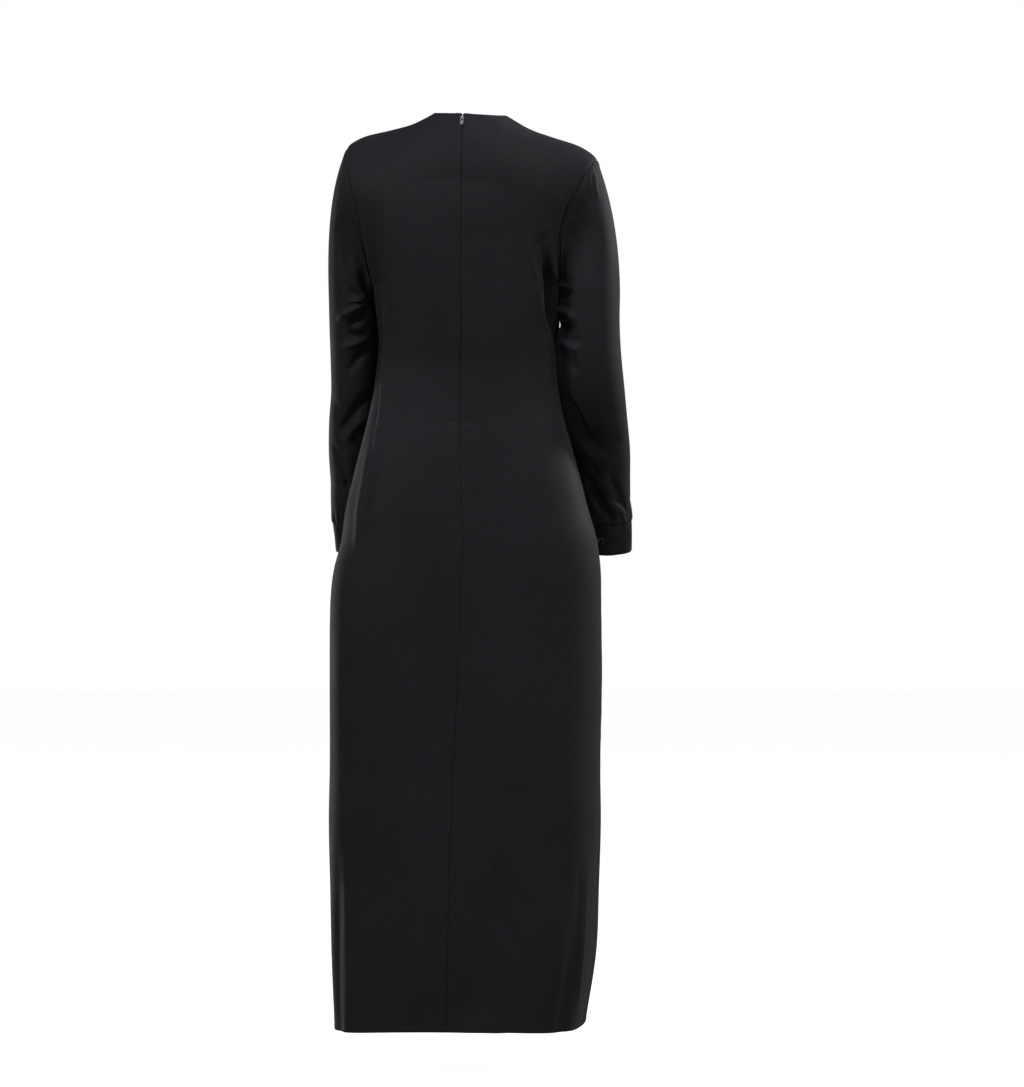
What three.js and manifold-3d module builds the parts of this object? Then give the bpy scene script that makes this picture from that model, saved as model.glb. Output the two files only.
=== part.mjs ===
// A worn abaya: a long closed dress with a concealed zip at the back,
// set-in sleeves and buttoned cuffs. Millimetres, +Z up, the back faces -Y
// and the wearer's right is +X. The origin lies between the two shoulder seams.
import * as THREE from 'three';
import { mergeVertices } from 'three/addons/utils/BufferGeometryUtils.js';
import Module from 'manifold-3d';

// Cloth
const WALL = 1.2;
const SEAM_GAP = 0.3;
const HEM_WALL = 2.2;
const HEM_TURN = 8;
const HEM_STEP = 1.5;
const CUFF_WALL = 1.8;

// Heights along the body
const HEM = -1411;
const UNDERARM = -240;
const ARMHOLE_WIDEST = -115;
const SHOULDER_TIP = { across: 200, height: -33 };

// The right shoulder hangs lower by this share of the way across, above the underarm
const SHOULDER_DROP = { share: 0.064, run: 180 };

// The hem hangs lower at the sides, and this dip dies away going up
const HEM_DIP = { height: 5, share: 0.65, power: 6 };

// Neck opening: the points beside the neck, the share of the top edge that they end,
// and how far their corner is spread into the cloth
const NECK = { across: 57, depth: -4, height: 28.7, share: 1 / 3, spread: 0.5 };

// Each face of the body above the underarm. turnHeight is where the cloth starts to
// turn towards the shoulder, lean how far it leans at the neck, in degrees.
const FACES = {
  back: { sign: -1, neckDepth: 68, neckHeight: 22.7, turnHeight: -82, lean: 38, armhole: 58 },
  front: { sign: 1, neckDepth: 70, neckHeight: -36, turnHeight: -98, lean: 40, armhole: 52 },
};

// How far the cloth has turned towards the side where it meets the armhole, in degrees
const WRAP = { underarm: 90, shoulder: 60 };

// Sections of the body, from the hem up. back and front are the depths on each
// side of the shoulder line, turn is in degrees, square the corner exponent.
const TRUNK = [
  { height: -1411, middle: -19.7, halfWidth: 196.5, back: 128, front: 122, turn: -9.4, square: 3.2 },
  { height: -1299, middle: -14.1, halfWidth: 209.0, back: 128, front: 122, turn: -10.6, square: 3.0 },
  { height: -1188, middle: -13.3, halfWidth: 213.0, back: 128, front: 121, turn: -10.2, square: 2.8 },
  { height: -1092, middle: -13.0, halfWidth: 216.0, back: 127, front: 120, turn: -8.8, square: 2.7 },
  { height: -997, middle: -12.7, halfWidth: 215.5, back: 126, front: 118, turn: -7.3, square: 2.6 },
  { height: -870, middle: -11.5, halfWidth: 216.5, back: 126, front: 116, turn: -4.8, square: 2.6 },
  { height: -742, middle: -11.3, halfWidth: 215.5, back: 125, front: 113, turn: -3.0, square: 2.6 },
  { height: -695, middle: -9.2, halfWidth: 212.5, back: 124, front: 111, turn: -3.1, square: 2.6 },
  { height: -647, middle: -6.0, halfWidth: 203.0, back: 122, front: 109, turn: -3.3, square: 2.6 },
  { height: -599, middle: -9.5, halfWidth: 192.4, back: 119, front: 107, turn: -3.3, square: 2.6 },
  { height: -548, middle: -10.0, halfWidth: 180.0, back: 114, front: 105, turn: -3.3, square: 2.6 },
  { height: -504, middle: -11.0, halfWidth: 168.6, back: 107, front: 104, turn: -3.8, square: 2.6 },
  { height: -440, middle: -11.0, halfWidth: 152.6, back: 96, front: 103, turn: -5.0, square: 2.6 },
  { height: -377, middle: -9.5, halfWidth: 144.5, back: 92, front: 105, turn: -6.0, square: 2.6 },
  { height: -329, middle: -7.0, halfWidth: 143.0, back: 97, front: 112, turn: -6.0, square: 2.6 },
  { height: -240, middle: -7.0, halfWidth: 146.0, back: 105, front: 122, turn: -5.8, square: 2.6 },
  { height: -170, middle: -7.5, halfWidth: 146.0, back: 109, front: 118, turn: -5.2, square: 2.6 },
  { height: -110, middle: -6.5, halfWidth: 146.0, back: 107, front: 102, turn: -5.6, square: 2.6 },
  { height: -32, middle: -1.5, halfWidth: 146.0, back: 92, front: 88, turn: -9.0, square: 2.6 },
  { height: 30, middle: -1.0, halfWidth: 146.0, back: 80, front: 80, turn: -12.0, square: 2.6 },
];

// The shoulder seam's height, from the neck (share 0) to the armhole (share 1)
const SHOULDER = [
  { share: 0, height: 28.7 },
  { share: 0.25, height: 9.8 },
  { share: 0.5, height: -1.6 },
  { share: 0.79, height: -13.0 },
  { share: 0.93, height: -23.3 },
  { share: 1, height: -33 },
];

// The largest folds of the body. around is 0 at the centre back, 1 at the side
// seam and 2 at the centre front, negative on the left. Ridges stand out, troughs
// have a negative height. FOLD_END is the share of a fold over which it rises or dies.
const FOLD_END = 0.3;
const BODY_FOLDS = [
  { name: 'left side trough', top: -110, bottom: -440,
    aroundTop: -0.8, aroundBottom: -0.86, width: 17, height: -6 },
  { name: 'right side trough', top: -150, bottom: -350,
    aroundTop: 0.62, aroundBottom: 0.86, width: 18, height: -6 },
  { name: 'left hip ridge', top: -460, bottom: -690,
    aroundTop: -0.62, aroundBottom: -0.56, width: 16, height: 5 },
  { name: 'right hem trough', top: -1150, bottom: -1480,
    aroundTop: 0.66, aroundBottom: 0.62, width: 20, height: -6 },
  { name: 'left hem trough', top: -1050, bottom: -1480,
    aroundTop: -0.6, aroundBottom: -0.68, width: 22, height: -5 },
  { name: 'right front fold', top: -420, bottom: -1480,
    aroundTop: 1.42, aroundBottom: 1.36, width: 24, height: 7 },
  { name: 'left front fold', top: -460, bottom: -1480,
    aroundTop: -1.45, aroundBottom: -1.33, width: 24, height: 7 },
  { name: 'front hem trough', top: -980, bottom: -1480,
    aroundTop: 1.8, aroundBottom: 1.72, width: 26, height: -6 },
];

// Near the armhole the folds die away, and above the underarm they are shallower
const UPPER_FOLDS = { fadeShare: 0.12, across: 0.6, depth: 0.8 };

// A quarter of a section's girth, as a share of its half width and depth together
const QUARTER_GIRTH = 0.9;

// Each arm's sleeve, from the underarm down: the middle of each section, and its
// half sizes across and front to back.
const ARMS = {
  right: [
    { height: -258, x: 186.4, y: -18, across: 47.1, deep: 57 },
    { height: -305, x: 186.5, y: -20, across: 46.5, deep: 55 },
    { height: -361, x: 186.2, y: -18, across: 49.9, deep: 53 },
    { height: -409, x: 190.0, y: -7, across: 51.0, deep: 51 },
    { height: -456, x: 196.5, y: 19, across: 49.5, deep: 48 },
    { height: -504, x: 203.0, y: 46, across: 48.0, deep: 46 },
    { height: -552, x: 206.0, y: 68, across: 46.0, deep: 44 },
    { height: -586, x: 209.0, y: 77, across: 44.0, deep: 41 },
    { height: -604, x: 214.5, y: 81, across: 40.5, deep: 34 },
    { height: -618, x: 218.0, y: 84, across: 37.5, deep: 28 },
    { height: -664, x: 219.0, y: 98, across: 37.0, deep: 27 },
  ],
  left: [
    { height: -258, x: -190.0, y: 50, across: 41.5, deep: 57 },
    { height: -305, x: -189.0, y: 58, across: 42.0, deep: 55 },
    { height: -361, x: -187.5, y: 67, across: 42.5, deep: 53 },
    { height: -409, x: -187.0, y: 78, across: 43.0, deep: 51 },
    { height: -456, x: -191.5, y: 94, across: 42.5, deep: 48 },
    { height: -504, x: -193.5, y: 108, across: 41.5, deep: 46 },
    { height: -552, x: -192.5, y: 120, across: 40.0, deep: 44 },
    { height: -584, x: -194.0, y: 126, across: 38.5, deep: 40 },
    { height: -602, x: -194.0, y: 130, across: 37.0, deep: 33 },
    { height: -616, x: -193.5, y: 133, across: 36.5, deep: 28 },
    { height: -662, x: -189.5, y: 144, across: 36.0, deep: 27 },
  ],
};

// The largest folds of the sleeves. turn is 0 at the outside of the arm, 90 at its
// back, 180 at the inside and 270 at the front, in degrees.
const SLEEVE_FOLDS = {
  right: [
    { name: 'inner crease', topTurn: 168, bottomTurn: 118, top: -300, bottom: -345, width: 15, height: -4 },
    { name: 'elbow crease', topTurn: 160, bottomTurn: 42, top: -402, bottom: -492, width: 14, height: -4.5 },
    { name: 'wrist crease', topTurn: 112, bottomTurn: 48, top: -540, bottom: -592, width: 13, height: -3.5 },
    { name: 'front crease', topTurn: 300, bottomTurn: 225, top: -395, bottom: -450, width: 15, height: -4 },
  ],
  left: [
    { name: 'inner crease', topTurn: 160, bottomTurn: 105, top: -292, bottom: -338, width: 15, height: -4 },
    { name: 'elbow crease', topTurn: 40, bottomTurn: 118, top: -410, bottom: -500, width: 14, height: -4.5 },
    { name: 'wrist crease', topTurn: 70, bottomTurn: 120, top: -535, bottom: -585, width: 13, height: -3 },
    { name: 'front crease', topTurn: 300, bottomTurn: 230, top: -400, bottom: -450, width: 15, height: -4 },
  ],
};

// The sleeve's girth in millimetres for each degree, how far apart its middle line is
// read, and how the cap leaves the armhole: the cosines between which it counts as
// under the arm, and how strongly it runs sideways and down there, at the back and
// front, and over the shoulder
const SLEEVE_GIRTH = 0.8;
const SECTION_STEP = 6;
const CAP = { underFrom: 0.1, underRun: 0.75, sideways: 0.1, drop: 0.35, topDrop: 1.7 };

// Cloth that meets at less than this cosine between its normals has a corner there
const SMOOTH_MEETING = 0.3;

// Gathers where the sleeve meets the cuff
const GATHERS = 16;
const GATHER_HEIGHT = 1.8;
const GATHER_RUN = 34;

// Cuffs: the band starts under itself at lapStart and ends on top at lapEnd
const CUFF = {
  lapStart: 92,
  lapEnd: 127,
  lapRise: 2.3,
  lapRamp: 30,
  seamGap: 0.35,
  buttonTurn: 110,
  buttonShare: 0.48,
};
const BUTTON = {
  radius: 5,
  thickness: 2.2,
  underBevel: 0.6,
  rimBevel: 0.5,
  dish: 0.6,
  dishRadius: 3.6,
  dishSlope: 0.4,
  hole: 0.55,
  holeSpread: 1.25,
  stands: 0.65,
  sides: 22,
  holeSides: 6,
};

// Zip, as it lies from the neck down
const ZIP = {
  bottom: -456,
  top: 7,
  tapeBottom: -468,
  tapeTop: 17,
  tapeWidth: 12,
  tapeEdge: 1.7,
  tapeWall: 0.9,
  chainHalf: 2.1,
  chainWall: 1.8,
  partHalf: 2.4,
  partFrom: -2,
  partRun: 9,
  rowSpace: 4,
};
const ZIP_STOP = { gap: 0.3, length: 5, half: 2.6, wall: 2.2 };
const SLIDER = {
  height: 14,
  seatHalf: 5,
  seatAcross: 8,
  bodyHalf: 3.6,
  bodyLength: 9,
  bodyDeep: 3.6,
  bodyBelow: 0.9,
  neckHalf: 0.8,
  neckReach: 2.6,
  bridge: 3.5,
  bevel: 0.9,
  sunk: 1,
  bore: 0.95,
  pinOut: 1.9,
  pinUp: 0.8,
};
const PULL = {
  length: 15,
  width: 4.6,
  top: 0.9,
  corner: 0.5,
  hollow: 0.95,
  hollowUp: 0.6,
  pin: 0.5,
  pinInset: 0.3,
  arm: 1.05,
  thickness: 1.2,
  eye: 5.2,
};

// How finely each piece is divided
const COLUMNS = 9;
const SKIRT_ROWS = 25;
const ARMHOLE_STEPS = 6;
const CAP_ROWS = 7;
const SLEEVE_ROWS = 17;
const GATHER_ROWS = 4;
const CUFF_COLUMNS = 40;

const DEGREE = Math.PI / 180;
const mix = THREE.MathUtils.lerp;
const clamp01 = (value) => THREE.MathUtils.clamp(value, 0, 1);

function smooth(value) {
  const t = clamp01(value);
  return t * t * (3 - 2 * t);
}

// The row of a table at any value of its key column, by a smooth curve through its rows
function readRow(table, key, value) {
  const last = table.length - 1;
  const rising = table[last][key] > table[0][key];
  let i = 0;
  while (i < last - 1 && (rising ? value > table[i + 1][key] : value < table[i + 1][key])) i += 1;
  const span = table[i + 1][key] - table[i][key];
  const t = clamp01((value - table[i][key]) / span);
  const row = {};
  for (const column of Object.keys(table[0])) {
    const slopeAt = (k) => {
      const before = table[Math.max(k - 1, 0)];
      const after = table[Math.min(k + 1, last)];
      return (after[column] - before[column]) / (after[key] - before[key]);
    };
    const t2 = t * t;
    const t3 = t2 * t;
    row[column] =
      (2 * t3 - 3 * t2 + 1) * table[i][column] +
      (t3 - 2 * t2 + t) * span * slopeAt(i) +
      (3 * t2 - 2 * t3) * table[i + 1][column] +
      (t3 - t2) * span * slopeAt(i + 1);
  }
  return row;
}

// A bump that is 1 along a fold's line and dies away beside it and at its ends
function foldShape(offset, width, along, length) {
  const run = FOLD_END * length;
  const ends = smooth(along / run) * smooth((length - along) / run);
  return Math.exp(-((offset / width) ** 2)) * ends;
}

// Body

// The edge of the body at the top: neckline, then shoulder seam
function topEdge(face, share) {
  if (share <= NECK.share) {
    const turn = (90 * DEGREE * share) / NECK.share;
    return {
      across: NECK.across * Math.sin(turn),
      depth: NECK.depth + face.sign * face.neckDepth * Math.cos(turn),
      height: mix(NECK.height, face.neckHeight, Math.cos(turn)),
    };
  }
  const along = (share - NECK.share) / (1 - NECK.share);
  return {
    across: mix(NECK.across, SHOULDER_TIP.across, along),
    depth: mix(NECK.depth, 0, along),
    height: readRow(SHOULDER, 'share', along).height,
  };
}

// The top edge as the cloth below it follows it, with the corner beside the neck spread out
function softTopEdge(face, share, level) {
  const spread = NECK.spread * (3 - level) * Math.min(share, 1 - share);
  const edges = [-1, -0.5, 0, 0.5, 1].map((step) => topEdge(face, share + step * spread));
  const middle = (key) => edges.reduce((total, edge) => total + edge[key], 0) / edges.length;
  return { across: middle('across'), depth: middle('depth'), height: middle('height') };
}

// How far in and how deep a share of a section lies, for cloth that turns by wrap degrees
function sectionShares(share, wrap, square) {
  const power = 2 / square;
  const end = wrap * DEGREE;
  const across = Math.sin(share * end) ** power / Math.sin(end) ** power;
  const bend = (1 - Math.max(Math.cos(share * end), 0) ** power) / (1 - Math.max(Math.cos(end), 0) ** power);
  return { across, bend };
}

// The fold height at a place on the body
function bodyFold(around, height, section) {
  const quarter = QUARTER_GIRTH * (section.halfWidth + section.back);
  let total = 0;
  for (const fold of BODY_FOLDS) {
    const length = fold.top - fold.bottom;
    const along = fold.top - height;
    if (along > 0 && along < length) {
      const centre = mix(fold.aroundTop, fold.aroundBottom, along / length);
      const endless = fold.bottom < HEM ? 2 * length : length;
      total += fold.height * foldShape((around - centre) * quarter, fold.width, along, endless);
    }
  }
  return total;
}

// Puts a place of the body's own section into the frame
function place(across, depth, height) {
  const section = readRow(TRUNK, 'height', height);
  const turn = section.turn * DEGREE;
  const drop = SHOULDER_DROP.share * across * smooth((height - UNDERARM) / SHOULDER_DROP.run);
  return new THREE.Vector3(
    section.middle + across * Math.cos(turn) - depth * Math.sin(turn),
    across * Math.sin(turn) + depth * Math.cos(turn),
    height - drop,
  );
}

// A point of the body's outer face. side is -1 on the left, share runs from 0 at
// the centre to 1 at the side. level runs from 0 at the hem to 1 at the underarm,
// 2 at the armhole's widest part and 3 at the neck and shoulder seam.
function bodyPoint(faceName, side, share, level) {
  const face = FACES[faceName];
  const around = side * (faceName === 'back' ? share : 2 - share);

  if (level <= 1) {
    const height = mix(HEM, UNDERARM, level);
    const section = readRow(TRUNK, 'height', height);
    const { across, bend } = sectionShares(share, 90, section.square);
    const reach = section[faceName];
    const fold = bodyFold(around, height, section);
    const out = new THREE.Vector2(
      across ** (section.square - 1) / section.halfWidth,
      (1 - bend) ** (section.square - 1) / reach,
    ).normalize();
    const point = place(
      side * (section.halfWidth * across + fold * out.x),
      face.sign * (reach * (1 - bend) + fold * out.y),
      height,
    );
    point.z -= HEM_DIP.height * smooth(share / HEM_DIP.share) * (1 - level) ** HEM_DIP.power;
    return point;
  }

  const lower = Math.min(level - 1, 1);
  const turnHeight = mix(face.turnHeight, ARMHOLE_WIDEST, share);
  const edgeRise = 1 - Math.cos(90 * DEGREE * lower);
  const height = mix(UNDERARM, turnHeight, mix(lower, edgeRise, share));
  const edgeHeight = mix(UNDERARM, ARMHOLE_WIDEST, edgeRise);
  const edgeAcross = armholeAcross(edgeHeight);
  const edgeDepth = face.armhole * Math.sin(90 * DEGREE * lower);
  const section = readRow(TRUNK, 'height', height);
  const wrap = mix(WRAP.underarm, WRAP.shoulder, smooth(lower));
  const { across, bend } = sectionShares(share, wrap, section.square);
  const fold = bodyFold(around, height, section) * smooth((1 - share) / UPPER_FOLDS.fadeShare);
  const base = {
    across: edgeAcross * across + fold * across * UPPER_FOLDS.across,
    depth: mix(section[faceName], edgeDepth, bend) + fold * UPPER_FOLDS.depth,
    height,
  };
  if (level <= 2) return place(side * base.across, face.sign * base.depth, base.height);

  const edge = softTopEdge(face, share, level);
  const lean = mix(face.lean, 90, smooth(share / NECK.share)) * DEGREE;
  const turn = (level - 2) * lean;
  const rise = Math.sin(turn) / Math.sin(lean);
  const close = (1 - Math.cos(turn)) / (1 - Math.cos(lean));
  return place(
    side * mix(base.across, edge.across, rise),
    mix(face.sign * base.depth, edge.depth, close),
    mix(base.height, edge.height, rise),
  );
}

function armholeAcross(height) {
  const share = (height - UNDERARM) / (SHOULDER_TIP.height - UNDERARM);
  const underarmHalf = readRow(TRUNK, 'height', UNDERARM).halfWidth;
  return mix(underarmHalf, SHOULDER_TIP.across, share);
}

// The body's rows of levels, hem first, with two close rows at the hem's turn
function bodyLevels() {
  const run = UNDERARM - HEM;
  const levels = [0, HEM_TURN / run, (HEM_TURN + HEM_STEP) / run];
  const first = levels[2];
  for (let i = 1; i <= SKIRT_ROWS; i += 1) levels.push(mix(first, 1, i / SKIRT_ROWS));
  for (let i = 1; i <= 2 * ARMHOLE_STEPS; i += 1) levels.push(1 + i / ARMHOLE_STEPS);
  return levels;
}

// The body's columns from the centre to the side, with one close to the centre seam
const SHARES = [0, 0.05, ...Array.from({ length: COLUMNS }, (unused, i) => (i + 1) / COLUMNS)];
const NECK_COLUMN = SHARES.indexOf(NECK.share);
const LEVELS = bodyLevels();
const FIRST_ARMHOLE_ROW = LEVELS.indexOf(1);

function bodyGrid(faceName, side) {
  return LEVELS.map((level) => SHARES.map((share) => bodyPoint(faceName, side, share, level)));
}

// Moves the points of one edge of a grid towards the row or column beside it
function insetEdge(points, beside, amount) {
  points.forEach((point, i) => {
    const step = beside[i].clone().sub(point).setLength(amount);
    point.add(step);
  });
}

const column = (grid, index) => grid.map((row) => row.at(index));

// Walls

// Directions along a row of points, from a curve through each three of them
function tangents(points, closed) {
  const count = points.length;
  const steps = points.map((point, i) => points[(i + 1) % count].clone().sub(point));
  const at = (i) => {
    const before = steps[(i - 1 + count) % count];
    const after = steps[i];
    const a = before.length();
    const b = after.length();
    return before.clone().multiplyScalar(b / a).addScaledVector(after, a / b).divideScalar(a + b);
  };
  return points.map((point, i) => {
    if (closed || (i > 0 && i < count - 1)) return at(i);
    const first = i === 0;
    const step = first ? steps[0] : steps[count - 2];
    const inner = first ? at(1) : at(count - 2);
    return step.clone().multiplyScalar(2 / step.length()).sub(inner);
  });
}

// Outward normals of a grid whose columns run to the left of its rows
function gridNormals(grid, closed) {
  const alongRows = grid.map((row) => tangents(row, closed));
  const normals = grid.map((row) => row.map(() => new THREE.Vector3()));
  const width = grid[0].length;
  for (let c = 0; c < width; c += 1) {
    const up = tangents(column(grid, c), false);
    grid.forEach((row, r) => normals[r][c].crossVectors(alongRows[r][c], up[r]).normalize());
  }
  return normals;
}

function moveAlong(grid, normals, distance) {
  return grid.map((row, r) => row.map((point, c) => {
    const amount = typeof distance === 'function' ? distance(r) : distance;
    return point.clone().addScaledVector(normals[r][c], amount);
  }));
}

// Joins an outer and an inner grid into one closed wall. A row may have twice as
// many points as the row before it.
function wallGeometry(outer, inner, closed) {
  const positions = [];
  const triangles = [];
  const number = (grid) => grid.map((row) => row.map((point) => {
    positions.push(point.x, point.y, point.z);
    return positions.length / 3 - 1;
  }));
  const outside = number(outer);
  const inside = number(inner);
  const next = (row, c) => row[(c + 1) % row.length];

  const cover = (rows, flip) => {
    const add = (a, b, c) => triangles.push(...(flip ? [a, c, b] : [a, b, c]));
    for (let r = 0; r + 1 < rows.length; r += 1) {
      const low = rows[r];
      const high = rows[r + 1];
      const quads = closed ? low.length : low.length - 1;
      for (let c = 0; c < quads; c += 1) {
        if (high.length >= 2 * low.length - 1 && high.length > low.length) {
          add(low[c], next(low, c), high[2 * c + 1]);
          add(low[c], high[2 * c + 1], high[2 * c]);
          add(next(low, c), next(high, 2 * c + 1), high[2 * c + 1]);
        } else {
          add(low[c], next(low, c), next(high, c));
          add(low[c], next(high, c), high[c]);
        }
      }
    }
  };
  cover(outside, false);
  cover(inside, true);

  const rim = (out, into) => {
    const count = closed && out.length > 2 ? out.length : out.length - 1;
    for (let i = 0; i < count; i += 1) {
      const a = out[i];
      const b = out[(i + 1) % out.length];
      triangles.push(a, into[(i + 1) % into.length], b, a, into[i], into[(i + 1) % into.length]);
    }
  };
  const reversed = (row) => [...row].reverse();
  rim(outside[0], inside[0]);
  rim(reversed(outside.at(-1)), reversed(inside.at(-1)));
  if (!closed) {
    rim(reversed(column(outside, 0)), reversed(column(inside, 0)));
    rim(column(outside, -1), column(inside, -1));
  }

  const geometry = new THREE.BufferGeometry();
  geometry.setAttribute('position', new THREE.Float32BufferAttribute(positions, 3));
  geometry.setIndex(triangles);
  return geometry;
}

// Materials and meshes

const materials = {
  cloth: () => new THREE.MeshStandardMaterial({ color: 0x17161b, roughness: 0.8, metalness: 0 }),
  gloss: () => new THREE.MeshStandardMaterial({ color: 0x08080a, roughness: 0.15, metalness: 0 }),
  tape: () => new THREE.MeshStandardMaterial({ color: 0x141318, roughness: 0.9, metalness: 0 }),
  enamel: () => new THREE.MeshStandardMaterial({ color: 0x15151a, roughness: 0.3, metalness: 0.6 }),
};

const abaya = new THREE.Group();

function addMesh(name, geometry, material, parent = abaya) {
  const mesh = new THREE.Mesh(geometry, materials[material]());
  mesh.name = name;
  parent.add(mesh);
  return mesh;
}

// Back and front

const grids = {
  backRight: bodyGrid('back', 1),
  backLeft: bodyGrid('back', -1),
  frontRight: bodyGrid('front', 1),
  frontLeft: bodyGrid('front', -1),
};

// The armhole of one side: its points from the shoulder down the back, round the
// underarm and up the front, with the cloth's direction and normal at each
function armholeLoop(backGrid, frontGrid, flip) {
  const loop = [];
  const backNormals = gridNormals(backGrid, false);
  const frontNormals = gridNormals(frontGrid, false);
  const read = (grid, normals, row, turnFace) => {
    const edge = grid[row].at(-1);
    loop.push({
      point: edge.clone(),
      outward: edge.clone().sub(grid[row].at(-2)).normalize(),
      normal: normals[row].at(-1).clone().multiplyScalar(turnFace * flip),
    });
  };
  const top = LEVELS.length - 1;
  for (let row = top; row >= FIRST_ARMHOLE_ROW; row -= 1) read(backGrid, backNormals, row, 1);
  for (let row = FIRST_ARMHOLE_ROW + 1; row < top; row += 1) read(frontGrid, frontNormals, row, -1);
  return loop;
}

const armholes = {
  right: armholeLoop(grids.backRight, grids.frontRight, 1),
  left: armholeLoop(grids.backLeft, grids.frontLeft, -1),
};

const flipRows = (grid) => grid.map((row) => [...row].reverse());
const bodyWall = (row) => -(row < 2 ? HEM_WALL : WALL);

// Half of what the centre back edges stand apart, where the slider parts them
function centreBackInset(height) {
  return mix(SEAM_GAP / 2, ZIP.partHalf, smooth((height - ZIP.partFrom) / ZIP.partRun));
}

function panelEdges(grid, centreInset) {
  const half = SEAM_GAP / 2;
  insetEdge(grid.at(-1).slice(NECK_COLUMN), grid.at(-2).slice(NECK_COLUMN), half);
  insetEdge(column(grid, -1), column(grid, -2), half);
  if (centreInset) {
    grid.forEach((row) => insetEdge([row[0]], [row[1]], centreInset(row[0].z)));
  }
}

const clothNormals = {};
for (const [name, grid] of Object.entries(grids)) {
  const facesRight = name === 'backRight' || name === 'frontLeft';
  const ordered = facesRight ? grid : flipRows(grid);
  const normals = gridNormals(ordered, false);
  clothNormals[name] = facesRight ? normals : flipRows(normals);
}

panelEdges(grids.backRight, centreBackInset);
panelEdges(grids.backLeft, centreBackInset);
panelEdges(grids.frontRight, null);
panelEdges(grids.frontLeft, null);

const insideOf = (name) => moveAlong(grids[name], clothNormals[name], bodyWall);
addMesh('back_right', wallGeometry(grids.backRight, insideOf('backRight'), false), 'cloth');
addMesh('back_left', wallGeometry(flipRows(grids.backLeft), flipRows(insideOf('backLeft')), false), 'cloth');

// The front is cut on the fold: right half from the side in, then the left half out
const joinHalves = (right, left) => right.map((row, r) => [...[...row].reverse(), ...left[r].slice(1)]);
const frontOuter = joinHalves(grids.frontRight, grids.frontLeft);
const frontInner = joinHalves(insideOf('frontRight'), insideOf('frontLeft'));
addMesh('front', wallGeometry(frontOuter, frontInner, false), 'cloth');

// Sleeves and cuffs

// A section across an arm at a height of its middle line
function armSection(arm, side, height) {
  const row = readRow(arm, 'height', height);
  const above = readRow(arm, 'height', Math.min(height + SECTION_STEP, arm[0].height));
  const below = readRow(arm, 'height', Math.max(height - SECTION_STEP, arm.at(-1).height));
  const centre = new THREE.Vector3(row.x, row.y, row.height);
  const down = new THREE.Vector3(below.x - above.x, below.y - above.y, below.height - above.height);
  down.normalize();
  const out = new THREE.Vector3(side, 0, 0).addScaledVector(down, -side * down.x).normalize();
  const back = new THREE.Vector3(0, -1, 0).addScaledVector(down, down.y);
  back.addScaledVector(out, -back.dot(out)).normalize();
  return { centre, down, out, back, across: row.across, deep: row.deep };
}

function onSection(section, turn, lift) {
  const cos = Math.cos(turn * DEGREE);
  const sin = Math.sin(turn * DEGREE);
  const normal = new THREE.Vector2(cos / section.across, sin / section.deep).normalize();
  return section.centre.clone()
    .addScaledVector(section.out, section.across * cos + lift * normal.x)
    .addScaledVector(section.back, section.deep * sin + lift * normal.y);
}

function sleeveLift(folds, turn, height, end) {
  let lift = 0;
  for (const fold of folds) {
    const length = fold.top - fold.bottom;
    const along = fold.top - height;
    const centre = mix(fold.topTurn, fold.bottomTurn, clamp01(along / length));
    const slant = Math.atan2(Math.abs(fold.bottomTurn - fold.topTurn) * SLEEVE_GIRTH, length);
    const offset = (turn - centre) * SLEEVE_GIRTH * Math.cos(slant);
    lift += fold.height * foldShape(offset, fold.width, along, length);
  }
  const gather = smooth(1 - (height - end) / GATHER_RUN);
  return lift + gather * GATHER_HEIGHT * (0.5 + 0.5 * Math.cos(turn * DEGREE * GATHERS));
}

function sleeveGrid(sideName, side) {
  const arm = ARMS[sideName];
  const folds = SLEEVE_FOLDS[sideName];
  const loop = armholes[sideName];
  const start = arm[0].height;
  const end = arm.at(-2).height;
  const steps = loop.length;
  const rows = [];
  const firstRing = armSection(arm, side, start);
  for (let r = 0; r <= CAP_ROWS; r += 1) {
    const t = r / CAP_ROWS;
    rows.push(loop.map((edge, i) => {
      const turn = (360 * i) / steps;
      const over = Math.cos(turn * DEGREE);
      const under = smooth((-over - CAP.underFrom) / CAP.underRun);
      const drop = mix(CAP.drop, CAP.topDrop, smooth(over));
      const sideways = new THREE.Vector3(side, 0, 0);
      const from = edge.point.clone()
        .addScaledVector(edge.outward, SEAM_GAP / 2)
        .addScaledVector(sideways, under * SEAM_GAP);
      const to = onSection(firstRing, turn, 0);
      const reach = from.distanceTo(to);
      const leave = edge.outward.clone().multiplyScalar(1 - under)
        .addScaledVector(new THREE.Vector3(CAP.sideways * side, 0, -1), mix(drop, 1, under));
      const curve = new THREE.CubicBezierCurve3(
        from,
        from.clone().addScaledVector(leave.normalize(), reach / 3),
        to.clone().addScaledVector(firstRing.down, -reach / 3),
        to,
      );
      return curve.getPoint(t);
    }));
  }
  const gatherTop = end + GATHER_RUN;
  for (let r = 1; r <= SLEEVE_ROWS; r += 1) {
    const height = mix(start, gatherTop, r / SLEEVE_ROWS);
    const section = armSection(arm, side, height);
    rows.push(loop.map((edge, i) => {
      const turn = (360 * i) / steps;
      return onSection(section, turn, sleeveLift(folds, turn, height, end));
    }));
  }
  for (let r = 1; r <= GATHER_ROWS; r += 1) {
    const height = mix(gatherTop, end, r / GATHER_ROWS);
    const section = armSection(arm, side, height);
    rows.push(Array.from({ length: 2 * steps }, (unused, i) => {
      const turn = (180 * i) / steps;
      return onSection(section, turn, sleeveLift(folds, turn, height, end));
    }));
  }
  return rows;
}

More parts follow.
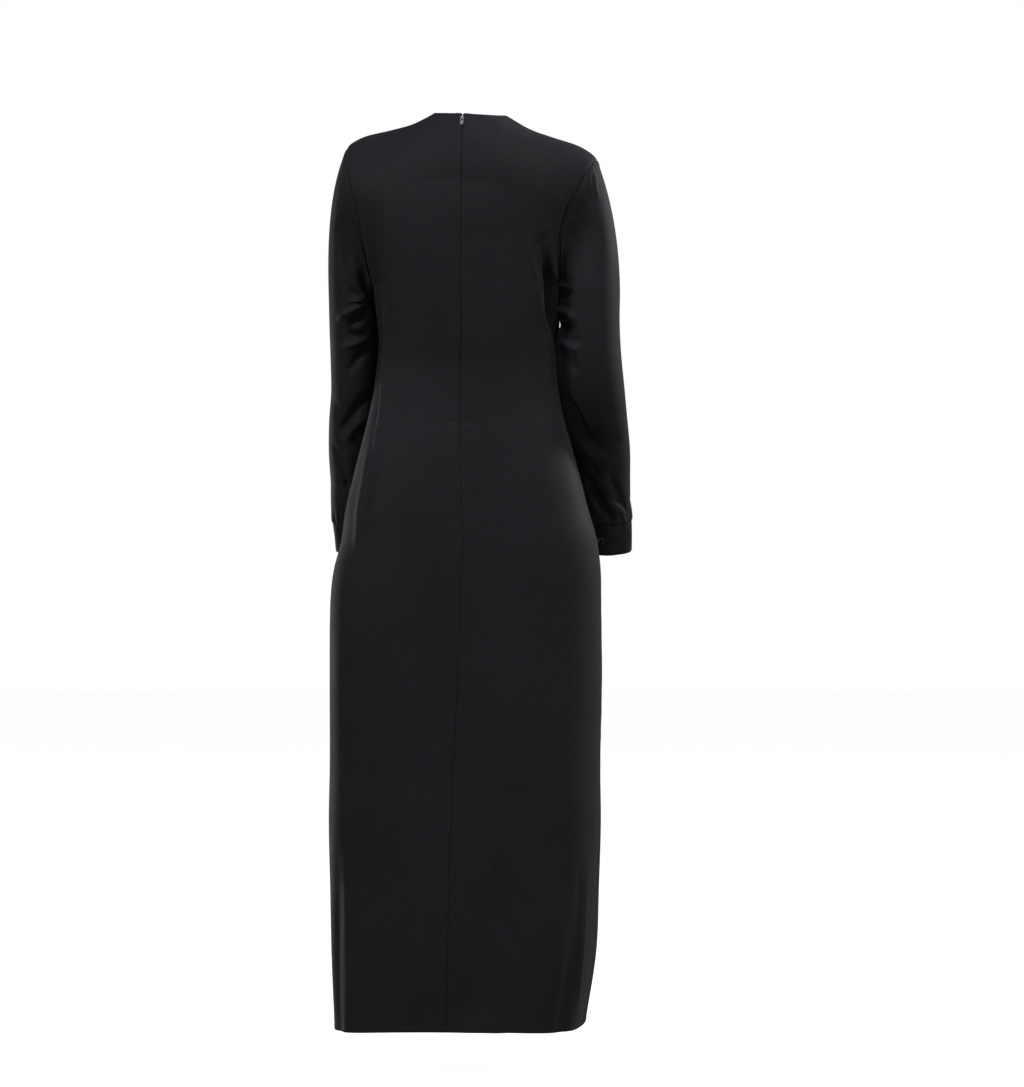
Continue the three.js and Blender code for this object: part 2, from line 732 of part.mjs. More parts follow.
// Normals of a sleeve: each stretch of rows with the same number of points by
// itself, and at the armhole the body's own normal where the cloth runs on smoothly
function sleeveNormals(rows, loop) {
  const split = rows.findIndex((row) => row.length > rows[0].length);
  const upper = rows.slice(0, split);
  const lower = rows.slice(split);
  const bridge = rows[split - 1].flatMap((point, i, row) => {
    const next = row[(i + 1) % row.length];
    return [point, point.clone().lerp(next, 0.5)];
  });
  const normals = [
    ...gridNormals(upper, true),
    ...gridNormals([bridge, ...lower], true).slice(1),
  ];
  loop.forEach((edge, i) => {
    if (normals[0][i].dot(edge.normal) > SMOOTH_MEETING) normals[0][i].copy(edge.normal);
  });
  return normals;
}

function addSleeve(sideName, side) {
  const turned = (row) => (side > 0 ? row : [row[0], ...row.slice(1).reverse()]);
  const rows = sleeveGrid(sideName, side).map(turned);
  const normals = sleeveNormals(rows, turned(armholes[sideName]));
  addMesh(`sleeve_${sideName}`, wallGeometry(rows, moveAlong(rows, normals, -WALL), true), 'cloth');
}

// A cuff: a straight band around the wrist whose outer end lies over its inner end
function cuffPoint(sideName, side, turn, height) {
  const section = armSection(ARMS[sideName], side, height);
  const over = smooth((turn - 360 - CUFF.lapStart + CUFF.lapRamp) / CUFF.lapRamp);
  return onSection(section, turn, over * CUFF.lapRise);
}

function addCuff(sideName, side) {
  const arm = ARMS[sideName];
  const section = armSection(arm, side, arm.at(-2).height);
  const top = arm.at(-2).height - CUFF.seamGap * Math.abs(section.down.z);
  const bottom = arm.at(-1).height;
  const heights = [top, mix(top, bottom, 1 / 3), mix(top, bottom, 2 / 3), bottom];
  const turns = Array.from({ length: CUFF_COLUMNS + 1 }, (unused, i) => (
    mix(CUFF.lapStart, 360 + CUFF.lapEnd, i / CUFF_COLUMNS)
  ));
  const ordered = side > 0 ? turns : [...turns].reverse();
  const rows = heights.map((height) => ordered.map((turn) => cuffPoint(sideName, side, turn, height)));
  const inner = moveAlong(rows, gridNormals(rows, false), -CUFF_WALL);
  addMesh(`cuff_${sideName}`, wallGeometry(rows, inner, false), 'cloth');
}

// Solids for cutting and joining

const wasm = await Module();
wasm.setup();

function toSolid(geometry) {
  const bare = geometry.clone();
  bare.deleteAttribute('normal');
  bare.deleteAttribute('uv');
  const merged = mergeVertices(bare, 1e-5);
  return new wasm.Manifold(new wasm.Mesh({
    numProp: 3,
    vertProperties: new Float32Array(merged.attributes.position.array),
    triVerts: new Uint32Array(merged.index.array),
  }));
}

function toGeometry(solid) {
  const mesh = solid.getMesh();
  const geometry = new THREE.BufferGeometry();
  geometry.setAttribute('position', new THREE.Float32BufferAttribute(mesh.vertProperties, 3));
  geometry.setIndex(Array.from(mesh.triVerts));
  return geometry;
}

// Buttons

function buttonGeometry() {
  const { radius, thickness, underBevel, rimBevel, dish, dishRadius, dishSlope, hole, holeSpread } = BUTTON;
  const profile = [
    [0, 0],
    [radius - underBevel, 0],
    [radius, underBevel],
    [radius, thickness - rimBevel],
    [radius - rimBevel, thickness],
    [dishRadius + dishSlope, thickness],
    [dishRadius - dishSlope, thickness - dish],
    [0, thickness - dish],
  ].map(([x, y]) => new THREE.Vector2(x, y));
  let disc = toSolid(new THREE.LatheGeometry(profile, BUTTON.sides).rotateX(90 * DEGREE));
  for (const [i, j] of [[-1, -1], [-1, 1], [1, -1], [1, 1]]) {
    const drill = new THREE.CylinderGeometry(hole, hole, 3 * thickness, BUTTON.holeSides);
    drill.rotateX(90 * DEGREE).translate(i * holeSpread, j * holeSpread, thickness / 2);
    disc = disc.subtract(toSolid(drill));
  }
  return toGeometry(disc);
}

function addButton(sideName, side) {
  const arm = ARMS[sideName];
  const height = mix(arm.at(-2).height, arm.at(-1).height, CUFF.buttonShare);
  const turn = 360 + CUFF.buttonTurn;
  const seat = cuffPoint(sideName, side, turn, height);
  const onward = cuffPoint(sideName, side, turn + 4, height).sub(seat).normalize();
  const { down } = armSection(arm, side, height);
  const normal = new THREE.Vector3().crossVectors(onward, down).multiplyScalar(side).normalize();
  const up = new THREE.Vector3().crossVectors(normal, onward).normalize();
  const across = new THREE.Vector3().crossVectors(up, normal).normalize();
  const holder = new THREE.Group();
  holder.setRotationFromMatrix(new THREE.Matrix4().makeBasis(across, up, normal));
  holder.position.copy(seat.addScaledVector(normal, BUTTON.stands));
  abaya.add(holder);
  addMesh(`button_${sideName}`, buttonGeometry(), 'gloss', holder);
}

for (const [sideName, side] of [['left', -1], ['right', 1]]) {
  addSleeve(sideName, side);
  addCuff(sideName, side);
  addButton(sideName, side);
}

// Zip

// A place inside a back half, level with a height of the centre seam, at a
// distance from that seam and below the cloth's outer face
function underBack(name, height, fromCentre, depth) {
  const grid = grids[name];
  const normals = clothNormals[name];
  let r = 0;
  while (r < grid.length - 2 && grid[r + 1][0].z < height) r += 1;
  const t = clamp01((height - grid[r][0].z) / (grid[r + 1][0].z - grid[r][0].z));
  const edge = grid[r][0].clone().lerp(grid[r + 1][0], t);
  const beside = grid[r][1].clone().lerp(grid[r + 1][1], t);
  const normal = normals[r][0].clone().lerp(normals[r + 1][0], t).normalize();
  const standsOff = mix(centreBackInset(grid[r][0].z), centreBackInset(grid[r + 1][0].z), t);
  const direction = beside.sub(edge).normalize();
  return edge.addScaledVector(direction, fromCentre - standsOff).addScaledVector(normal, -depth);
}

// Heights of the back's rows between two heights, with both ends
function rowHeights(bottom, top) {
  const heights = column(grids.backRight, 0).map((point) => point.z);
  const between = heights.filter((z) => z > bottom + ZIP.rowSpace && z < top - ZIP.rowSpace);
  return [bottom, ...between, top];
}

const TAPE_DEPTH = WALL + 1.5 * SEAM_GAP;
const CHAIN_DEPTH = TAPE_DEPTH + ZIP.tapeWall + SEAM_GAP;

function addTape(name, panel, side) {
  const edges = side > 0 ? [ZIP.tapeEdge, ZIP.tapeWidth] : [ZIP.tapeWidth, ZIP.tapeEdge];
  const layer = (depth) => rowHeights(ZIP.tapeBottom, ZIP.tapeTop).map((height) => (
    edges.map((fromCentre) => underBack(panel, height, fromCentre, depth))
  ));
  addMesh(name, wallGeometry(layer(TAPE_DEPTH), layer(TAPE_DEPTH + ZIP.tapeWall), false), 'tape');
}

addTape('zip_tape_left', 'backLeft', -1);
addTape('zip_tape_right', 'backRight', 1);

// The row of coils that closes the two tapes, or a block across it
function stripAcross(bottom, top, half, wall) {
  const layer = (depth) => rowHeights(bottom, top).map((height) => {
    const right = underBack('backRight', height, ZIP.tapeEdge, depth);
    const left = underBack('backLeft', height, ZIP.tapeEdge, depth);
    const centre = right.clone().lerp(left, 0.5);
    const direction = right.sub(left).normalize();
    return [-half, half].map((offset) => centre.clone().addScaledVector(direction, offset));
  });
  return wallGeometry(layer(CHAIN_DEPTH), layer(CHAIN_DEPTH + wall), false);
}

addMesh('zip_chain', stripAcross(ZIP.bottom, ZIP.top, ZIP.chainHalf, ZIP.chainWall), 'enamel');
const stopTop = ZIP.bottom - ZIP_STOP.gap;
addMesh('zip_stop', stripAcross(stopTop - ZIP_STOP.length, stopTop, ZIP_STOP.half, ZIP_STOP.wall), 'enamel');

// The slider's place: x across the seam, y up along it, z out of the cloth
function sliderFrame() {
  const mid = (height) => underBack('backRight', height, 0, 0).lerp(underBack('backLeft', height, 0, 0), 0.5);
  const { height, seatHalf, seatAcross } = SLIDER;
  const origin = mid(height);
  const up = mid(height + seatHalf).sub(mid(height - seatHalf)).normalize();
  const across = underBack('backRight', height, seatAcross, 0);
  across.sub(underBack('backLeft', height, seatAcross, 0));
  across.addScaledVector(up, -across.dot(up)).normalize();
  const out = new THREE.Vector3().crossVectors(across, up);
  const frame = new THREE.Group();
  frame.setRotationFromMatrix(new THREE.Matrix4().makeBasis(across, up, out));
  frame.position.copy(origin);
  abaya.add(frame);
  return frame;
}

// The slider: a body inside the cloth, and a thin bridge that stands out between
// the cloth's edges with a bore for the pull's pin
function sliderGeometry() {
  const { bodyHalf, bodyLength, bodyDeep, bodyBelow } = SLIDER;
  const { neckHalf, neckReach, bridge, bevel, sunk, bore, pinOut, pinUp } = SLIDER;
  const body = new THREE.BoxGeometry(2 * bodyHalf, bodyLength, bodyDeep);
  const bodyTop = -CHAIN_DEPTH - bodyBelow;
  body.translate(0, 0, bodyTop - bodyDeep / 2);
  const side = new THREE.Shape();
  side.moveTo(-neckReach, bodyTop - sunk);
  side.lineTo(neckReach, bodyTop - sunk);
  side.lineTo(neckReach, pinOut);
  side.lineTo(neckReach - bevel, bridge);
  side.lineTo(bevel - neckReach, bridge);
  side.lineTo(-neckReach, pinOut);
  side.closePath();
  const hole = new THREE.Path();
  hole.absarc(pinUp, pinOut, bore, 0, 2 * Math.PI, true);
  side.holes.push(hole);
  const extrusion = { depth: 2 * neckHalf, bevelEnabled: false, curveSegments: 8 };
  const neck = new THREE.ExtrudeGeometry(side, extrusion);
  neck.translate(0, 0, -neckHalf);
  neck.applyMatrix4(new THREE.Matrix4().makeBasis(
    new THREE.Vector3(0, 1, 0),
    new THREE.Vector3(0, 0, 1),
    new THREE.Vector3(1, 0, 0),
  ));
  return toGeometry(toSolid(body).add(toSolid(neck)));
}

// The pull: a teardrop plate whose eye straddles the bridge, on a pin through it.
// Its own origin is the pin's middle.
function pullGeometry() {
  const { length, width, top, corner, hollow, hollowUp, pin, pinInset, arm, thickness, eye } = PULL;
  const half = width / 2;
  const tipMiddle = top - length + half;
  const plate = new THREE.Shape();
  plate.moveTo(-half, tipMiddle);
  plate.lineTo(-half, top - corner);
  plate.lineTo(corner - half, top);
  plate.lineTo(half - corner, top);
  plate.lineTo(half, top - corner);
  plate.lineTo(half, tipMiddle);
  plate.absarc(0, tipMiddle, half, 0, -Math.PI, true);
  const slot = new THREE.Shape();
  slot.moveTo(arm - half, top + thickness);
  slot.lineTo(half - arm, top + thickness);
  slot.lineTo(half - arm, -eye);
  slot.lineTo(arm - half, -eye);
  slot.closePath();
  const extrude = (shape, depth) => {
    const solid = new THREE.ExtrudeGeometry(shape, { depth, bevelEnabled: false, curveSegments: 7 });
    return solid.translate(0, 0, -depth / 2);
  };
  const bar = new THREE.CylinderGeometry(pin, pin, width - 2 * pinInset, 10).rotateZ(90 * DEGREE);
  const drill = new THREE.CylinderGeometry(hollow, hollow, 3 * thickness, 12).rotateX(90 * DEGREE);
  drill.translate(0, tipMiddle + hollowUp, 0);
  return toGeometry(
    toSolid(extrude(plate, thickness))
      .subtract(toSolid(extrude(slot, 3 * thickness)))
      .subtract(toSolid(drill))
      .add(toSolid(bar)),
  );
}

const zipFrame = sliderFrame();
addMesh('zip_slider', sliderGeometry(), 'enamel', zipFrame);
const pull = addMesh('zip_pull', pullGeometry(), 'enamel', zipFrame);
pull.position.set(0, SLIDER.pinUp, SLIDER.pinOut);

export default abaya;
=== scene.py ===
# A worn abaya seen from behind: a long closed dress in black crepe with a concealed zip
# at the back, set-in sleeves and buttoned cuffs. Forms are in millimetres until they
# become meshes. The back faces -Y, the wearer's right is +X.
import math

import bmesh
import bpy
import numpy as np
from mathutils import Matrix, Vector


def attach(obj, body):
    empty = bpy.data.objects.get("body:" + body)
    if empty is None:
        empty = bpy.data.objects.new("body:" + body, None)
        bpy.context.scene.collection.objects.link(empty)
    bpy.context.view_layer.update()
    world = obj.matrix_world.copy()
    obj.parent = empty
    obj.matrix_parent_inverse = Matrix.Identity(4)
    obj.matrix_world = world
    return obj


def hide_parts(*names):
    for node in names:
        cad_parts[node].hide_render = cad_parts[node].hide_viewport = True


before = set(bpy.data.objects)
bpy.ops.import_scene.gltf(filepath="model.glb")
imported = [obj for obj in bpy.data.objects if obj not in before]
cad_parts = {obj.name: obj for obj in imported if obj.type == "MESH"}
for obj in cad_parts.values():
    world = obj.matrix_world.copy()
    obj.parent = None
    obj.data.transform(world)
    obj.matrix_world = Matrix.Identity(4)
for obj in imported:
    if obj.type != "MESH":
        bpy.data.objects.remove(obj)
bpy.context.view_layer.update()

MM = 0.001

# Cloth. Back and front end SEAM_CLOSED before their seam, so no light shows through it.
WALL = 1.1
SEAM_GAP = 0.3
SEAM_CLOSED = 0.03
HEM_WALL = 2.1
HEM_TURN = 8
CUFF_WALL = 1.8

# The inside follows creases up to this height, and no further
INNER_MOST_LIFT = 8

# How the cloth lies beside each seam, by the distance from it: the depth and width of its
# groove, the height and width of the allowance below the cloth, the height, middle and
# width of the puckers, and their pace along the seam
SEAMS = {
    "side": {"groove": (0.9, 1.7), "ledge": (0.35, 11), "pucker": (0.5, 6, 5), "pace": 9},
    "shoulder": {"groove": (0.8, 1.6), "ledge": (0.3, 11)},
    "neck": {"groove": (0.5, 0.9), "ledge": (0.3, 8)},
    "centre": {"groove": (1.1, 1.6), "ledge": (0.35, 12), "pucker": (0.55, 6, 6), "pace": 13},
    "zip": {"groove": (1.1, 1.6), "ledge": (0.8, 12), "pace": 8},
    "armhole": {"groove": (0.9, 1.7), "ledge": (0.45, 10), "pucker": (0.8, 9, 8), "pace": 6},
    "hem": {"groove": (0.5, 0.9), "pucker": (0.7, 13, 9), "pace": 8},
    "cuff": {"groove": (1.0, 1.6)},
}

# How far the turned hem stands out
HEM_RISE = 0.5

# How strong the slow waves of the hanging cloth are
BODY_DRAPE = 0.8
SLEEVE_DRAPE = 0.7

# Stitch lines, by their distance from the edge, and the groove that each one pulls
HEM_STITCHES_AT = HEM_TURN - 0.8
HEM_STITCH_GROOVE = (0.4, 0.8)
CUFF_STITCHES_AT = 2.2
CUFF_STITCH_GROOVE = (0.3, 0.7)

# One stitch is a thread that dips into the cloth at both ends. thick and lift are shares
# of the thread's radius.
STITCH_FORM = [
    ("along", "thick", "lift"),
    (0, 0.35, -1),
    (0.2, 0.9, 0),
    (0.5, 1, 0.25),
    (0.8, 0.9, 0),
    (1, 0.35, -1),
]
STITCH_LENGTH = 2.6
STITCH_GAP = 0.6
STITCH_SIDES = 6
HEM_THREAD = 0.22
CUFF_THREAD = 0.2

# Heights along the body
HEM = -1411
UNDERARM = -240
ARMHOLE_WIDEST = -115
SHOULDER_TIP = (200, -33)

# The right shoulder hangs lower: its slope, and the run above the underarm that it takes
SHOULDER_DROP = 0.064
SHOULDER_DROP_RUN = 180

# The hem dips away from the centre: how deep, the share of the way round that it takes,
# and how fast it fades upwards
HEM_DIP = 5
HEM_DIP_SHARE = 0.65
HEM_DIP_POWER = 6

# The hem is lower on the left: its slope, the place across that keeps its height, and how
# far up the slope fades out
HEM_TILT = 0.0206
HEM_TILT_MIDDLE = 70
HEM_TILT_RUN = 260

# Neckline
NECK_ACROSS = 57
NECK_DEPTH = -4
NECK_HEIGHT = 28.7
NECK_SHARE = 1 / 3
NECK_SPREAD = 0.5

# Each face above the underarm: the neck's depth and height, where the cloth starts to
# turn to the shoulder, its lean in degrees at the neck, and the armhole's depth
FACES = {
    "back": {
        "sign": -1,
        "neck_depth": 68,
        "neck_height": 22.7,
        "turn_height": -82,
        "lean": 38,
        "armhole": 58,
    },
    "front": {
        "sign": 1,
        "neck_depth": 70,
        "neck_height": -36,
        "turn_height": -98,
        "lean": 40,
        "armhole": 52,
    },
}

# How far the cloth turns from the centre to the armhole, in degrees
WRAP_UNDERARM = 90
WRAP_SHOULDER = 60

# The armhole's back edge bows in on the right, and stands out under the left arm
ARMHOLE_BOW = 12.5
UNDERARM_SPREAD = 5
UNDERARM_SPREAD_RUN = 90

# Sections of the body, from the hem up. back and front are the depths on each side of
# the shoulder line, turn is in degrees, square is the corner exponent.
TRUNK = [
    ("height", "middle", "half_width", "back", "front", "turn", "square"),
    (-1411, -19.7, 196.5, 128, 122, -9.4, 3.2),
    (-1299, -14.1, 209.0, 128, 122, -10.6, 3.0),
    (-1188, -13.3, 213.0, 128, 121, -10.2, 2.8),
    (-1092, -13.0, 216.0, 127, 120, -8.8, 2.7),
    (-997, -12.7, 215.5, 126, 118, -7.3, 2.6),
    (-870, -11.5, 216.5, 126, 116, -4.8, 2.6),
    (-742, -11.3, 215.5, 125, 113, -3.0, 2.6),
    (-695, -9.2, 212.5, 124, 111, -3.1, 2.6),
    (-647, -6.0, 203.0, 122, 109, -3.3, 2.6),
    (-599, -9.5, 192.4, 119, 107, -3.3, 2.6),
    (-548, -10.0, 180.0, 114, 105, -3.3, 2.6),
    (-504, -11.0, 168.6, 107, 104, -3.8, 2.6),
    (-440, -11.0, 152.6, 96, 103, -5.0, 2.6),
    (-377, -9.5, 144.5, 92, 105, -6.0, 2.6),
    (-329, -7.0, 143.0, 97, 112, -6.0, 2.6),
    (-240, -7.0, 146.0, 105, 122, -5.8, 2.6),
    (-170, -7.5, 146.0, 109, 118, -5.2, 2.6),
    (-110, -6.5, 146.0, 107, 102, -5.6, 2.6),
    (-32, -1.5, 146.0, 92, 88, -9.0, 2.6),
    (30, -1.0, 146.0, 80, 80, -12.0, 2.6),
]

# The shoulder seam's height, from the neck to the armhole
SHOULDER = [
    ("share", "height"),
    (0, 28.7),
    (0.25, 9.8),
    (0.5, -1.6),
    (0.79, -13.0),
    (0.93, -23.3),
    (1, -33),
]

# A quarter of the way round a section, as a share of its half width and depth together
QUARTER_SHARE = 0.9

# The share of a fold or crease over which it fades at each end
FOLD_END = 0.3

# The largest folds of the body. around is 0 at the centre back, 1 at the side seam and
# 2 at the centre front, negative on the left. A trough has a negative height.
BODY_FOLDS = [
    ("top", "bottom", "around_top", "around_bottom", "width", "height"),
    (-110, -440, -0.8, -0.86, 17, -6),
    (-150, -350, 0.62, 0.86, 18, -6),
    (-460, -690, -0.62, -0.56, 16, 5),
    (-1150, -1480, 0.66, 0.62, 20, -6),
    (-1050, -1480, -0.6, -0.68, 22, -5),
    (-420, -1480, 1.42, 1.36, 24, 7),
    (-460, -1480, -1.45, -1.33, 24, 7),
    (-980, -1480, 1.8, 1.72, 26, -6),
]

# Sections of each sleeve from the underarm down: the middle, and the half sizes
ARMS = {
    "right": [
        ("height", "x", "y", "across", "deep"),
        (-258, 186.4, -18, 47.1, 57),
        (-305, 186.5, -20, 46.5, 55),
        (-361, 186.2, -18, 49.9, 53),
        (-409, 190.0, -7, 51.0, 51),
        (-456, 196.5, 19, 49.5, 48),
        (-504, 203.0, 46, 48.0, 46),
        (-552, 206.0, 68, 46.0, 44),
        (-586, 209.0, 77, 44.0, 41),
        (-604, 214.5, 81, 40.5, 34),
        (-618, 218.0, 84, 37.5, 28),
        (-664, 219.0, 98, 37.0, 27),
    ],
    "left": [
        ("height", "x", "y", "across", "deep"),
        (-258, -190.0, 50, 41.5, 57),
        (-305, -189.0, 58, 42.0, 55),
        (-361, -187.5, 67, 42.5, 53),
        (-409, -187.0, 78, 43.0, 51),
        (-456, -191.5, 94, 42.5, 48),
        (-504, -193.5, 108, 41.5, 46),
        (-552, -192.5, 120, 40.0, 44),
        (-584, -194.0, 126, 38.5, 40),
        (-602, -194.0, 130, 37.0, 33),
        (-616, -193.5, 133, 36.5, 28),
        (-662, -189.5, 144, 36.0, 27),
    ],
}
SIDES = {"left": -1, "right": 1}

# The largest folds of the sleeves. turn is 0 at the outside of the arm, 90 at its back,
# 180 at the inside and 270 at the front, in degrees.
SLEEVE_FOLDS = {
    "right": [
        ("top", "bottom", "top_turn", "bottom_turn", "width", "height"),
        (-300, -345, 168, 118, 15, -4),
        (-402, -492, 160, 42, 14, -4.5),
        (-540, -592, 112, 48, 13, -3.5),
        (-395, -450, 300, 225, 15, -4),
    ],
    "left": [
        ("top", "bottom", "top_turn", "bottom_turn", "width", "height"),
        (-292, -338, 160, 105, 15, -4),
        (-410, -500, 40, 118, 14, -4.5),
        (-535, -585, 70, 120, 13, -3),
        (-400, -450, 300, 230, 15, -4),
    ],
}

# Millimetres round a sleeve and a cuff for each degree
DEGREE_OF_SLEEVE = 0.8
DEGREE_OF_CUFF = 0.57

# A crease is followed in CREASE_STEPS from point to point, and ends at CREASE_REACH widths
CREASE_STEPS = 8
CREASE_REACH = 3.2

# Creases that are finer than the largest folds, each a line through places on the cloth.
# On the body a place is (around, height), on a sleeve (turn, height). width is how far a
# crease spreads to each side, and a trough has a negative height.
BODY_CREASES = [
    ("width", "height", "line"),
    # left armhole and side
    (4.0, -4.5, [(-0.92, -96), (-0.95, -130), (-0.968, -165), (-0.968, -206), (-0.955, -237)]),
    (7.0, -3.0, [(-0.61, -80), (-0.63, -138), (-0.65, -184), (-0.66, -246), (-0.7, -320)]),
    (13.0, -5.0, [(-0.7, -84), (-0.74, -165), (-0.78, -240), (-0.81, -330), (-0.78, -410)]),
    (6.5, 4.5, [(-0.6, -235), (-0.61, -280), (-0.64, -332), (-0.61, -402), (-0.565, -450)]),
    (6.5, 5.5, [(-0.6, -390), (-0.57, -443), (-0.545, -490), (-0.51, -553), (-0.48, -650)]),
    # right armhole, and the drag line from the underarm to the waist
    (3.6, -6.5, [(0.967, -96), (0.967, -130), (0.96, -153), (0.962, -176), (0.955, -199), (0.93, -236)]),
    (3.5, 3.2, [(0.79, -98), (0.86, -139), (0.91, -180)]),
    (3.5, -2.2, [(0.73, -105), (0.78, -139), (0.83, -182)]),
    (6.5, -2.0, [(0.8, -163), (0.71, -175), (0.62, -184), (0.57, -200)]),
    (9.5, -4.0, [(0.57, -176), (0.59, -213), (0.64, -252), (0.72, -293), (0.84, -335)]),
    (13.0, -17.0, [(0.71, -190), (0.75, -240), (0.81, -285), (0.89, -324), (0.98, -362)]),
    (
        6.0,
        3.2,
        [(0.49, -150), (0.51, -195), (0.52, -235), (0.56, -271), (0.63, -297), (0.74, -320), (0.93, -380)],
    ),
    (36.0, -4.5, [(0.36, -290), (0.5, -380), (0.62, -470)]),
    # skirt
    (9.0, -2.2, [(0.69, -1120), (0.705, -1217), (0.71, -1302), (0.75, -1411)]),
    (7.0, 2.4, [(0.81, -1130), (0.795, -1241), (0.79, -1318), (0.83, -1411)]),
    (9.0, 1.6, [(-0.55, -1150), (-0.51, -1290), (-0.5, -1411)]),
    (8.0, -1.7, [(-0.265, -1176), (-0.317, -1218), (-0.375, -1254)]),
    (9.0, -1.8, [(0.135, -1212), (0.196, -1251), (0.28, -1294)]),
    (8.0, 1.4, [(0.215, -1146), (0.279, -1181), (0.37, -1217)]),
    (42.0, 6.0, [(-0.02, -1420), (0.1, -1422), (0.22, -1420)]),
    # beside the zip, at the neck and at its foot
    (4.5, -1.3, [(-0.085, 1), (-0.045, 3), (-0.006, 6)]),
    (3.5, 1.1, [(-0.08, -8), (-0.035, -5), (-0.004, -4)]),
    (3.5, -1.5, [(-0.05, -468), (-0.004, -459)]),
    (3.5, -1.5, [(0.05, -467), (0.004, -459)]),
]
SLEEVE_CREASES = {
    "right": [
        ("width", "height", "line"),
        (8.0, -7.5, [(100, -134), (112, -160), (124, -184), (141, -214), (161, -243)]),
        (4.5, 3.0, [(172, -240), (150, -247), (128, -252)]),
        (5.5, -3.5, [(178, -264), (148, -261), (124, -256)]),
        (5.0, 4.5, [(180, -280), (143, -292), (115, -304)]),
        (6.0, -5.5, [(176, -302), (144, -310), (121, -320)]),
        (5.0, 4.0, [(162, -334), (134, -342), (110, -350)]),
        (6.5, -5.0, [(163, -347), (135, -358), (112, -378)]),
        (
            9.0,
            -10.0,
            [(168, -396), (142, -412), (127, -430), (118, -448), (103, -466), (84, -478), (56, -497)],
        ),
        (9.0, 6.0, [(160, -430), (149, -448), (135, -468), (115, -489), (86, -508)]),
        (6.5, -4.0, [(145, -470), (127, -487), (112, -501), (91, -528)]),
        (8.0, -9.0, [(130, -518), (110, -553), (90, -588), (76, -618)]),
        (7.0, -5.0, [(80, -514), (58, -560), (34, -616)]),
        (8.0, 1.5, [(98, -536), (78, -568), (60, -600)]),
        (2.6, 2.8, [(34, -58), (47, -82), (56, -110)]),
        (2.6, 2.8, [(28, -60), (38, -85), (46, -112)]),
        (13.0, 9.0, [(166, -284), (166, -345), (164, -385), (158, -430), (152, -500)]),
        (9.0, 4.8, [(162, -222), (163, -282), (164, -342)]),
        (12.0, -5.5, [(146, -330), (148, -366), (146, -395), (142, -420)]),
        (2.6, 2.6, [(54, -78), (66, -101), (76, -124)]),
    ],
    "left": [
        ("width", "height", "line"),
        (9.0, -9.0, [(100, -120), (112, -160), (120, -196), (124, -240), (126, -270)]),
        (12.0, -3.5, [(60, -135), (85, -185), (98, -227)]),
        (3.5, -3.5, [(82, -245), (99, -255), (116, -265)]),
        (5.5, 6.0, [(46, -290), (87, -273), (128, -256)]),
        (5.5, -7.5, [(70, -300), (97, -289), (130, -276)]),
        (5.5, -6.5, [(72, -302), (97, -312), (130, -318)]),
        (5.5, 6.0, [(52, -334), (95, -326), (142, -306)]),
        (7.0, -6.5, [(140, -332), (101, -345), (68, -374)]),
        (8.0, -8.0, [(140, -394), (96, -418), (73, -443), (50, -474)]),
        (8.0, 5.0, [(144, -422), (97, -446), (66, -486)]),
        (5.0, -4.0, [(36, -480), (56, -510), (68, -534), (77, -568)]),
        (7.0, 2.5, [(71, -486), (81, -511), (87, -535)]),
        (3.5, -2.0, [(43, -42), (65, -70), (78, -99)]),
        (3.0, 1.6, [(51, -38), (73, -66), (88, -96)]),
    ],
}

# Gathers where the sleeve meets the cuff
GATHERS = 16
GATHER_HEIGHT = 1.8
GATHER_RUN = 34

# Cuffs: the band starts under itself at LAP_START and ends on top at LAP_END, in degrees
LAP_START = 92
LAP_END = 127
LAP_RISE = 2.3
LAP_RAMP = 30
CUFF_CORNER = 7.0

# The foot of the zip
ZIP_BOTTOM = -456

# The back's halves meet at the centre and part above the slider
CENTRE_CLOSED = 0.02
PART_HALF = 0.5
PART_FROM = -2
PART_RUN = 9
PART_SPREAD = 22

# The front is one piece on the fold, so its creases fade out towards the centre
CENTRE_FRONT_RUN = 30

# Millimetres between the rows and columns of the cloth. Beside an edge they lie closer,
# at these distances from it. The back's columns are spaced evenly at HIP_LEVEL.
BODY_STEP = 4.6
FRONT_STEP = 6.0
SLEEVE_STEP = 2.0
CUFF_STEP = 2.2
BESIDE_SEAM = (0.5, 1.1, 1.8, 2.7, 3.8, 5.2, 7.0)
BESIDE_SIDE = (*BESIDE_SEAM, 9.5)
BESIDE_HEM = (0.6, 1.6, 3.4, 5.4, 6.6, 7.4, 8.0, 8.8, 10.2, 13.0)
BESIDE_CUFF = (0.4, 0.9, 1.4, 1.9, 2.5, 3.2)
HIP_LEVEL = 0.45
ARMHOLE_RUN = 140
TOP_RUN = 150
LOOP_COLUMNS = 150
CAP_ROWS = 46
CUFF_COLUMNS = 150

# The camera, where the photograph was taken from, and the floor, in millimetres
CAMERA_PLACE = (62, -5500, -652.7)
PICTURE_WIDTH = 1024 * 1.59
FLOOR_HEIGHT = -1478
FLOOR_RADIUS = 14000


def mix(start, end, share):
    return start + (end - start) * share


def smooth(value):
    t = np.clip(value, 0, 1)
    return t * t * (3 - 2 * t)


def unit(vectors):
    return vectors / np.maximum(np.linalg.norm(vectors, axis=-1, keepdims=True), 1e-12)


